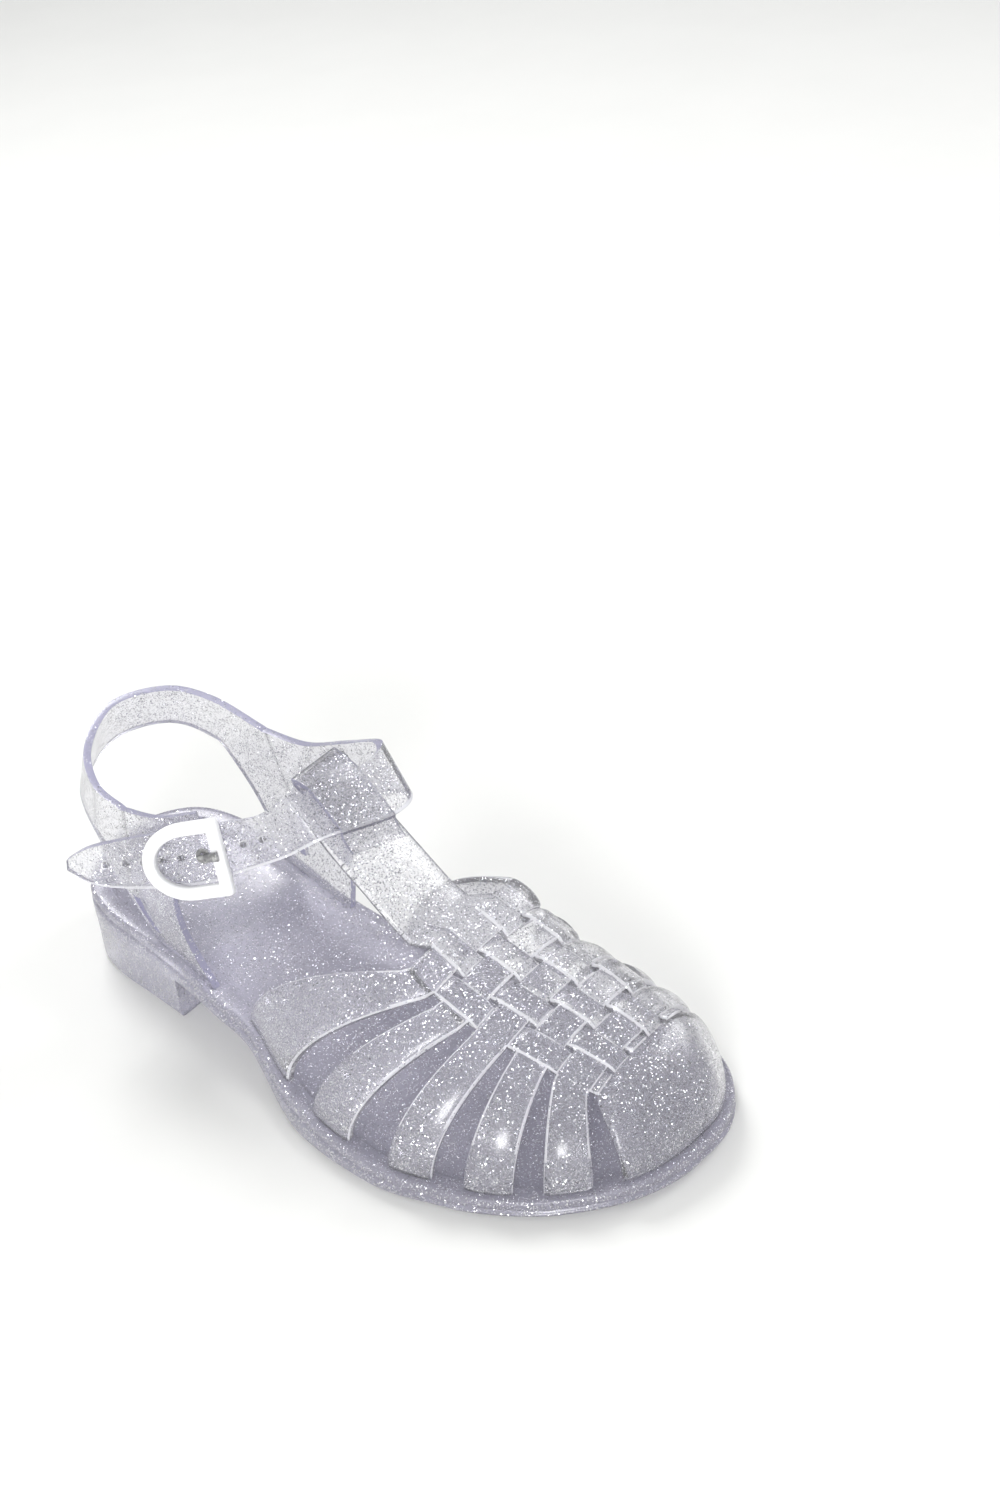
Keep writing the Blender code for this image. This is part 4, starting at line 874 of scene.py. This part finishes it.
def add_legs(sheet, lows, named):
    """Legs of both quarters, hung from the ribbon's low edge down to the sole."""
    edges = {row["name"]: row for row in LEG_EDGES}
    for side, order in ((-1, ("outer_front", "outer_slit_a", "outer_slit_b", "outer_rear")),
                        (1, ("inner_rear", "inner_slit_b", "inner_slit_a", "inner_front"))):
        for first, second in zip(order, order[1:]):
            start, end = named[first], named[second]
            slit = "slit" in first and "slit" in second

            def at(a, b):
                leg = leg_between(edges[first], edges[second], (a - start) / (end - start))
                key = ("r", a, RIBBON_ROWS) if b == 0 else ("leg", a, b)
                return key, leg_point(lows[a], leg, side, b / LEG_ROWS)

            for i in range(start, end):
                for r in range(LEG_ROWS):
                    if not slit or r not in range(*SLIT_ROWS):
                        sheet.cell(i, r, at)


def cut_prong_holes(ribbon, tops, lows, named):
    """Row of round holes along the free end of the ankle strap."""
    start, end = named["strap_fall"], named["tail_end"]
    middle = (tops[start:end + 1] + lows[start:end + 1]) / 2
    runs = np.concatenate([[0], np.cumsum(np.linalg.norm(np.diff(middle, axis=0), axis=1))])
    mesh = bmesh.new()
    for k in range(int(runs[-1] / HOLE_PITCH)):
        at = HOLE_PITCH * (k + 0.6)
        spot = np.array([np.interp(at, runs, middle[:, a]) for a in range(3)])
        ahead = np.array([np.interp(at + 2, runs, middle[:, a]) for a in range(3)]) - spot
        i = start + int(np.searchsorted(runs, at))
        out = Vector(np.cross(tops[i] - lows[i], ahead)).normalized()
        made = bmesh.ops.create_cone(mesh, cap_ends=True, segments=20, radius1=HOLE_RADIUS * MM,
                                     radius2=HOLE_RADIUS * MM, depth=12 * MM)
        turn = out.to_track_quat("Z", "Y").to_matrix()
        for vertex in made["verts"]:
            vertex.co = turn @ vertex.co + Vector(spot) * MM
    cutter_mesh = bpy.data.meshes.new("prong_holes")
    mesh.to_mesh(cutter_mesh)
    mesh.free()
    cutter = bpy.data.objects.new("prong_holes", cutter_mesh)
    bpy.context.scene.collection.objects.link(cutter)
    combine(ribbon, cutter, "DIFFERENCE")


def build_loop(mat, rim_mat, tops, lows, named):
    """Flap folded from the T-strap over the ankle strap."""
    middle = T_STRAP[-1]["across"] * BALL_WIDTH
    sheet = Sheet()
    lines = []
    for k in range(LOOP_LINES + 1):
        path = loop_line(middle + LOOP_WIDTH * (k / LOOP_LINES - 0.5), tops, lows, named)
        lines.append([hermite(path, j / LOOP_FINE) for j in range((len(path) - 1) * LOOP_FINE + 1)])
    for i in range(len(lines) - 1):
        for r in range(len(lines[0]) - 1):
            sheet.cell(i, r, lambda a, b: ((a, b), lines[a][b]))
    flap = piece("loop_flap", sheet.points, sheet.faces, mat)
    fold = T_STRAP[-1]
    turn_faces_out(flap, (middle, along_to_y(fold["along"]) + 1.0, fold["rise"] * COLLAR_HEIGHT - 12.0))
    return smooth(wall(flap, LOOP_WALL, LOOP_ROUND, rim_mat))


def rib(run):
    """Inset of the ribbed rim at a run along its edge."""
    return RIB_DEPTH * (0.5 - 0.5 * math.cos(2 * math.pi * run / RIB_PITCH))


def sole_profile():
    """Rings from under the sole, up its side and into the footbed: (inset, height of y, ribbed)."""
    low = lambda y: sole_top(y) - WELT_HEIGHT
    bed = lambda y: sole_top(y) - FOOTBED_CUP * (0.45 + 0.55 * read_table(SOLE_PROFILE, "top", y_to_along(y)))
    inner = UPPER_INSET + WALL + RIM_LAND
    side = lambda y: min(sole_under(y) + 3.0, low(y) - 1.6)
    return [
        (inner + 14.0, sole_under, 0), (inner, sole_under, 0), (2.2, sole_under, 0),
        (1.0, lambda y: sole_under(y) + 0.15, 0), (0.4, lambda y: sole_under(y) + 0.7, 0),
        (0.1, lambda y: sole_under(y) + 1.5, 0), (0.0, side, 0),
        (0.0, lambda y: (side(y) + low(y) - 1.2) / 2, 0), (0.05, lambda y: low(y) - 1.3, 0),
        (0.35, lambda y: low(y) - 0.8, 0), (EDGE_STEP, lambda y: low(y) - 0.45, 0),
        (EDGE_STEP, lambda y: low(y) + 0.05, 0), (0.55, lambda y: low(y) + 0.35, 0),
        (0.25, lambda y: low(y) + 0.9, 1), (0.15, lambda y: low(y) + 1.6, 1),
        (0.15, lambda y: sole_top(y) - 1.7, 1), (0.3, lambda y: sole_top(y) - 0.8, 1),
        (0.8, lambda y: sole_top(y) - 0.2, 0.5), (1.5, sole_top, 0), (UPPER_INSET - 0.6, sole_top, 0),
        (UPPER_INSET + WALL + 0.6, sole_top, 0), (UPPER_INSET + WALL + 1.2, lambda y: sole_top(y) - 0.3, 0),
        (inner - 0.4, lambda y: bed(y) + 0.6, 0), (inner + 0.6, bed, 0),
        (inner + 5.0, lambda y: bed(y) - 0.5, 0), (inner + 14.0, lambda y: bed(y) - 0.9, 0),
    ]


def build_sole(mat):
    """Platform with a ribbed rim and a cupped footbed, joined with its heel block."""
    shares = [(OUTER, k / RING_HALF) for k in range(RING_HALF)]
    shares += [(INNER, k / RING_HALF) for k in range(RING_HALF, 0, -1)]
    rings = sole_profile()
    points = []
    for inset, height, ribbed in rings:
        for k, (edge, share) in enumerate(shares):
            extra = rib(share * edge.length) * ribbed
            x, y = edge.at(share, inset + extra)
            points.append(np.array([x, y, height(y)]))
    count = len(shares)
    faces = tube_faces(count, len(rings)) + close_ring(0, count) + close_ring((len(rings) - 1) * count, count)
    sole = piece("sole_platform", points, faces, mat)
    combine(sole, build_heel(mat), "UNION")
    return smooth(sole)


def close_ring(start, count):
    """Strips of quads between the outer half and the inner half of a ring."""
    faces = []
    for k in range(count // 2):
        across = [(count - k - 1) % count, (count - k) % count]
        add_face(faces, [start + corner for corner in (k, k + 1, *across)])
    return faces


def build_heel(mat):
    """Heel block with a straight breast and a rounded foot."""
    breast_y = along_to_y(BREAST_ALONG)
    outer_end, inner_end = OUTER.share_at_y(breast_y), INNER.share_at_y(breast_y)
    ring = [(OUTER, outer_end * (1 - k / HEEL_RING)) for k in range(HEEL_RING)]
    ring += [(INNER, inner_end * k / HEEL_RING) for k in range(HEEL_RING + 1)]
    levels = [(HEEL_INSET + 1.6, 0.0), (HEEL_INSET + 0.7, 0.25), (HEEL_INSET + 0.2, 0.9), (HEEL_INSET, 2.0),
              (HEEL_INSET * 0.6, HEEL_LIFT + 3.0)]
    points = []
    for inset, height in levels:
        plan = [edge.at(share, inset) for edge, share in ring]
        points += [np.array([x, y, ground(y) + height]) for x, y in plan]
    count = len(ring)
    ends = [list(reversed(range(count))), list(range(len(points) - count, len(points)))]
    faces = tube_faces(count, len(levels)) + ends
    return piece("heel_block", points, faces, mat)


def d_outline(inset, arc=40):
    """Buckle outline, inset from the outside: straight bar at -u, round side at +u."""
    half = BUCKLE_HEIGHT / 2 - inset
    front = -BUCKLE_LENGTH / 2 + inset
    start = -BUCKLE_LENGTH / 2 + D_STRAIGHT * BUCKLE_LENGTH
    reach = BUCKLE_LENGTH / 2 - inset - start
    corner = max(1.6 - inset * 0.3, 0.4)
    points = [(start + reach * math.cos(a), half * math.sin(a))
              for a in (math.pi * (k / arc - 0.5) for k in range(arc + 1))]
    for cy, first in ((half - corner, 0.5), (-half + corner, 1.0)):
        points += [(front + corner + corner * math.cos(a), cy + corner * math.sin(a))
                   for a in (math.pi * (first + 0.5 * k / 5) for k in range(6))]
    return points


def ring_piece(name, loops, mat):
    """Closed ring from loops of points that follow each other round its section."""
    points = [p for loop in loops for p in loop]
    return piece(name, points, tube_faces(len(loops[0]), len(loops), closed=True), mat)


def rounded_section(width, height, radius, steps=4):
    """Section of a bar with rounded corners, as (across, up)."""
    section = []
    for cx, cy, first in ((width - radius, height - radius, 0.0), (radius, height - radius, 0.5),
                          (radius, radius, 1.0), (width - radius, radius, 1.5)):
        for k in range(steps + 1):
            angle = math.pi * (first + 0.5 * k / steps)
            section.append((cx + radius * math.cos(angle), cy + radius * math.sin(angle)))
    return section


def build_buckle(mat, place):
    """D-shaped frame round its own section."""
    loops = [[place.at(u, v, h) for u, v in d_outline(inset)]
             for inset, h in rounded_section(BUCKLE_BAR, BUCKLE_THICK, 0.9)]
    return ring_piece("buckle_d", loops, mat)


def build_prong(mat, place):
    """Flat prong hooked over the bar, its tip in the eyelet."""
    bar = -BUCKLE_LENGTH / 2
    over, low = BUCKLE_THICK + SEAT_GAP, EYELET_THICK + 2 * SEAT_GAP
    past = bar + BUCKLE_BAR
    path = [(bar + BUCKLE_BAR * 0.35, over), (bar + BUCKLE_BAR * 0.8, over), (past + 0.9, over - 0.1),
            (past + 2.0, low + 0.5), (past + 3.0, low),
            (bar + BUCKLE_BAR / 2 + EYELET_AWAY + 1.0, low)]
    path = [hermite(path, k / 6) for k in range((len(path) - 1) * 6 + 1)]
    points = []
    for i, (u, height) in enumerate(path):
        share = i / (len(path) - 1)
        half = PRONG_WIDTH / 2 * (1.25 - 0.65 * share)
        points += [place.at(u, BUCKLE_DROP + a, height + b) for a, b in
                   ((-half, 0.3), (-half + 0.3, 0.0), (half - 0.3, 0.0), (half, 0.3),
                    (half, PRONG_THICK - 0.4), (half - 0.4, PRONG_THICK), (-half + 0.4, PRONG_THICK),
                    (-half, PRONG_THICK - 0.4))]
    ends = [list(range(7, -1, -1)), [len(points) - 8 + k for k in range(8)]]
    faces = tube_faces(8, len(path)) + ends
    return piece("prong", points, faces, mat)


def build_eyelet(mat, place):
    """Flat metal ring in the strap, under the prong's tip."""
    middle = -BUCKLE_LENGTH / 2 + BUCKLE_BAR / 2 + EYELET_AWAY
    section = [(EYELET_HOLE + a, b) for a, b in
               rounded_section(EYELET_RADIUS - EYELET_HOLE, EYELET_THICK, 0.35)]
    loops = [[place.at(middle + r * math.cos(2 * math.pi * k / ROUND_STEPS),
                       BUCKLE_DROP + r * math.sin(2 * math.pi * k / ROUND_STEPS), h)
              for k in range(ROUND_STEPS)] for r, h in section]
    return ring_piece("eyelet_ring", loops, mat)


class Wire:
    """A shader socket with arithmetic: each operator adds a Math node."""

    def __init__(self, tree, socket):
        self.tree = tree
        self.socket = socket

    def math(self, operation, *values):
        return self.tree.node("ShaderNodeMath", dict(operation=operation), *values)

    def __add__(self, other):
        return self.math("ADD", self, other)

    def __radd__(self, other):
        return self.math("ADD", other, self)

    def __rsub__(self, other):
        return self.math("SUBTRACT", other, self)

    def __mul__(self, other):
        return self.math("MULTIPLY", self, other)

    def above(self, level):
        return self.math("GREATER_THAN", self, level)

    def smooth(self, low, high):
        """0 below low, 1 above high, smooth between."""
        return self.tree.node("ShaderNodeMapRange", dict(interpolation_type="SMOOTHSTEP"),
                              self, low, high, 0.0, 1.0)


class Finish:
    """A material and its nodes."""

    def __init__(self, name):
        self.material = bpy.data.materials.new(name)
        self.material.use_nodes = True
        self.nodes = self.material.node_tree.nodes
        self.shader = self.nodes["Principled BSDF"]
        self.place = self.node("ShaderNodeTexCoord", {}, output="Object")

    def node(self, kind, settings, *values, output=0, **named):
        """Any node: its settings first, then the values or wires of its sockets, in order or by name."""
        node = self.nodes.new(kind)
        for key, value in settings.items():
            if key == "stops":
                self.set_stops(node.color_ramp, value)
            else:
                setattr(node, key, value)
        sockets = [s for s in node.inputs if s.enabled]
        for socket, value in zip(sockets, values):
            self.plug(value, socket)
        for name, value in named.items():
            self.plug(value, self.find(sockets, name))
        outputs = [s for s in node.outputs if s.enabled]
        chosen = outputs[output] if isinstance(output, int) else self.find(outputs, output)
        return Wire(self, chosen)

    @staticmethod
    def find(sockets, name):
        return next(s for s in sockets if s.name.replace(" ", "_") == name)

    @staticmethod
    def set_stops(ramp, stops):
        while len(ramp.elements) < len(stops):
            ramp.elements.new(1.0)
        for element, (place, color) in zip(ramp.elements, stops):
            element.position = place
            element.color = (*color, 1.0)

    def plug(self, value, socket):
        if isinstance(value, Wire):
            self.material.node_tree.links.new(value.socket, socket)
        elif value is not None:
            if socket.type == "RGBA" and len(value) == 3:
                value = (*value, 1.0)
            socket.default_value = value

    def set(self, **sockets):
        for name, value in sockets.items():
            self.plug(value, self.shader.inputs[name.replace("_", " ")])
        return self

    def mix(self, factor, first, second):
        """Blend of two colours."""
        return self.node("ShaderNodeMix", dict(data_type="RGBA"), factor, first, second)

    def noise(self, scale, detail=2.0, roughness=0.5, color=False):
        return self.node("ShaderNodeTexNoise", {}, self.place, output="Color" if color else 0,
                         Scale=scale, Detail=detail, Roughness=roughness)

    def cells(self, scale, output):
        return self.node("ShaderNodeTexVoronoi", {}, self.place, output=output, Scale=scale)

    def part_of(self, color, channel):
        return self.node("ShaderNodeSeparateColor", {}, color, output=channel)


def glitter_plastic(name, tint, murk, fleck_share, roughness):
    """Clear soft plastic with fine silver flecks that each face their own way."""
    finish = Finish(name)
    flecks = finish.cells(FLECKS_PER_METRE, "Color")
    centre = finish.cells(FLECKS_PER_METRE, "Distance")
    big = finish.cells(FLECKS_PER_METRE * 0.55, "Color")
    big_centre = finish.cells(FLECKS_PER_METRE * 0.55, "Distance")
    chosen = finish.part_of(flecks, 0).above(1 - fleck_share) * (1 - centre.above(0.42))
    large = finish.part_of(big, 1).above(1 - fleck_share * 0.22) * (1 - big_centre.above(0.4))
    mask = finish.node("ShaderNodeMath", dict(operation="MAXIMUM"), chosen, large)
    shade = finish.part_of(flecks, 2)
    clouds = finish.noise(55.0, 3.0).smooth(0.3, 0.7)
    stops = [(0.0, FLECK_DARK), (0.45, FLECK_MID), (1.0, FLECK_BRIGHT)]
    silver = finish.node("ShaderNodeValToRGB", dict(stops=stops), shade)
    body = finish.mix(clouds, tint, [c * 0.965 for c in tint])
    color = finish.mix(mask, body, silver)
    bumps = finish.noise(420.0, 2.0) * 0.35 + finish.noise(60.0, 2.0) * 1.0
    relief = finish.node("ShaderNodeBump", {}, Strength=0.12, Distance=0.0004, Height=bumps)
    tilt = finish.node("ShaderNodeVectorMath", dict(operation="SUBTRACT"), flecks, (0.5, 0.5, 0.5))
    amount = finish.node("ShaderNodeCombineXYZ", {}, mask * FLECK_TILT, mask * FLECK_TILT, mask * FLECK_TILT)
    tilt = finish.node("ShaderNodeVectorMath", dict(operation="MULTIPLY"), tilt, amount)
    facing = finish.node("ShaderNodeVectorMath", dict(operation="ADD"), relief, tilt)
    facing = finish.node("ShaderNodeVectorMath", dict(operation="NORMALIZE"), facing)
    finish.set(Base_Color=color, Metallic=mask * 0.8, Roughness=roughness + mask * (0.24 - roughness),
               Normal=facing, IOR=1.38, Transmission_Weight=1.0 - murk,
               Coat_Weight=0.5, Coat_Roughness=0.33, Coat_IOR=1.5)
    return finish.material


def white_plastic():
    finish = Finish("white moulded plastic")
    speck = finish.noise(900.0, 2.0)
    relief = finish.node("ShaderNodeBump", {}, Strength=0.08, Distance=0.0002, Height=speck)
    body = finish.mix(finish.noise(70.0).smooth(0.35, 0.65), (0.95, 0.95, 0.96), (0.91, 0.91, 0.93))
    finish.set(Base_Color=body, Roughness=0.26 + speck * 0.1, Normal=relief, IOR=1.5)
    return finish.material


def worn_metal():
    finish = Finish("prong metal")
    wear = finish.noise(650.0, 4.0, 0.6)
    body = finish.mix(wear.smooth(0.4, 0.7), (0.30, 0.30, 0.31), (0.62, 0.62, 0.62))
    relief = finish.node("ShaderNodeBump", {}, Strength=0.15, Distance=0.0001, Height=wear)
    finish.set(Base_Color=body, Metallic=1.0, Roughness=0.22 + wear * 0.25, Normal=relief)
    return finish.material


def floor_surface():
    """Plain pale floor with a faint unevenness."""
    finish = Finish("pale floor")
    grain = finish.noise(14.0, 3.0)
    body = finish.mix(grain.smooth(0.3, 0.7), FLOOR_COLOR, [c * 0.985 for c in FLOOR_COLOR])
    finish.set(Base_Color=body, Roughness=0.6 + grain * 0.1, Specular_IOR_Level=0.2)
    return finish.material


def build_floor():
    """Pale sweep: a floor that curves up far behind the shoe."""
    mesh = bmesh.new()
    turns = [math.pi / 2 * k / 12 for k in range(1, 13)]
    bend = [(0.9 + 0.5 * math.sin(a), 0.5 - 0.5 * math.cos(a)) for a in turns]
    profile = [(-1.6, 0.0), (0.9, 0.0), *bend, (1.4, 2.6)]
    turn = math.radians(FLOOR_TURN)
    rows = []
    for side in (-2.6, 2.6):
        rows.append([mesh.verts.new((side * math.cos(turn) - along * math.sin(turn),
                                     side * math.sin(turn) + along * math.cos(turn), z - 0.0004))
                     for along, z in profile])
    for k in range(len(profile) - 1):
        mesh.faces.new((rows[0][k], rows[1][k], rows[1][k + 1], rows[0][k + 1])).smooth = True
    data = bpy.data.meshes.new("floor")
    mesh.to_mesh(data)
    mesh.free()
    data.materials.append(floor_surface())
    floor = bpy.data.objects.new("floor", data)
    bpy.context.scene.collection.objects.link(floor)


def area_light(name, place, target, size, power):
    light = bpy.data.lights.new(name, "AREA")
    light.shape = "RECTANGLE"
    light.size, light.size_y = size
    light.energy = power
    obj = bpy.data.objects.new(name, light)
    bpy.context.scene.collection.objects.link(obj)
    obj.location = place
    obj.rotation_euler = (Vector(target) - Vector(place)).to_track_quat("-Z", "Y").to_euler()


def light_scene():
    """Soft pale surroundings and the three lights, and a plain view of the colours."""
    world = bpy.data.worlds.new("studio")
    bpy.context.scene.world = world
    world.use_nodes = True
    background = world.node_tree.nodes["Background"]
    background.inputs["Color"].default_value = (0.97, 0.98, 1.0, 1.0)
    background.inputs["Strength"].default_value = WORLD_STRENGTH
    for name, place, size, power in LIGHTS:
        area_light(name, place, (0.0, 0.0, 0.03), size, power)
    bpy.context.scene.view_settings.view_transform = "Standard"
    bpy.context.scene.view_settings.look = "None"


def set_down(pieces, sole):
    """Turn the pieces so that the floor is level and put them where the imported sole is."""
    turn = Matrix.Rotation(math.atan(GROUND_SLOPE), 4, "X")
    for obj in pieces:
        obj.data.transform(turn)
    low = Vector([min(vertex.co[axis] for vertex in sole.data.vertices) for axis in range(3)])
    shift = Matrix.Translation(Vector(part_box("sole")[0]) - low)
    for obj in pieces:
        obj.data.transform(shift)
    return shift @ turn


def place_camera(stance):
    """Camera at the photograph's angle."""
    data = bpy.data.cameras.new("camera")
    data.sensor_fit = "VERTICAL"
    data.sensor_height = 36.0
    data.lens = 36.0 * FOCAL_PIXELS / 1500.0
    data.clip_start = 0.01
    camera = bpy.data.objects.new("camera", data)
    bpy.context.scene.collection.objects.link(camera)
    azimuth, elevation, roll = (math.radians(a) for a in CAMERA_ANGLES)
    back = Vector((math.sin(azimuth) * math.cos(elevation), -math.cos(azimuth) * math.cos(elevation),
                   math.sin(elevation)))
    look = back.to_track_quat("Z", "Y").to_matrix() @ Matrix.Rotation(roll, 3, "Z")
    camera.rotation_euler = (stance.to_3x3() @ look).to_euler()
    camera.location = stance @ (Vector(CAMERA_AT) * MM)
    bpy.context.scene.camera = camera


def main():
    glitter = glitter_plastic("clear glitter plastic", (0.95, 0.945, 0.98), 0.06, 0.46, 0.17)
    # edge: lighter, murkier plastic for steep cage cells and the strap's lower edge, a painted highlight
    # where edges catch the light.
    edge = glitter_plastic("edge highlight plastic", (0.93, 0.925, 0.97), 0.6, 0.2, 0.25)
    rim_plastic = glitter_plastic("band rim plastic", (0.48, 0.47, 0.63), 0.55, 0.3, 0.2)
    sole_glitter = glitter_plastic("sole glitter plastic", (0.70, 0.685, 0.80), 0.28, 0.5, 0.2)
    cage = build_cage(glitter, edge)
    ribbon, tops, lows, named = build_ribbon(glitter, rim_plastic, edge)
    flap = build_loop(glitter, rim_plastic, tops, lows, named)
    sole = build_sole(sole_glitter)
    place = StrapPlace(tops, lows, named)
    white, metal = white_plastic(), worn_metal()
    pieces = [(cage, "upper", "glitter_pvc"), (ribbon, "upper", "glitter_pvc"),
              (flap, "upper", "glitter_pvc"), (sole, "sole", "sole_pvc"),
              (build_buckle(white, place), "buckle_frame", "white_plastic"),
              (build_prong(metal, place), "buckle_prong", "prong_metal"),
              (build_eyelet(metal, place), "eyelet", "prong_metal")]
    stance = set_down([p[0] for p in pieces], sole)
    for obj, node, slot in pieces:
        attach(obj, "root")
        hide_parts(node)
    build_floor()
    light_scene()
    place_camera(stance)


main()
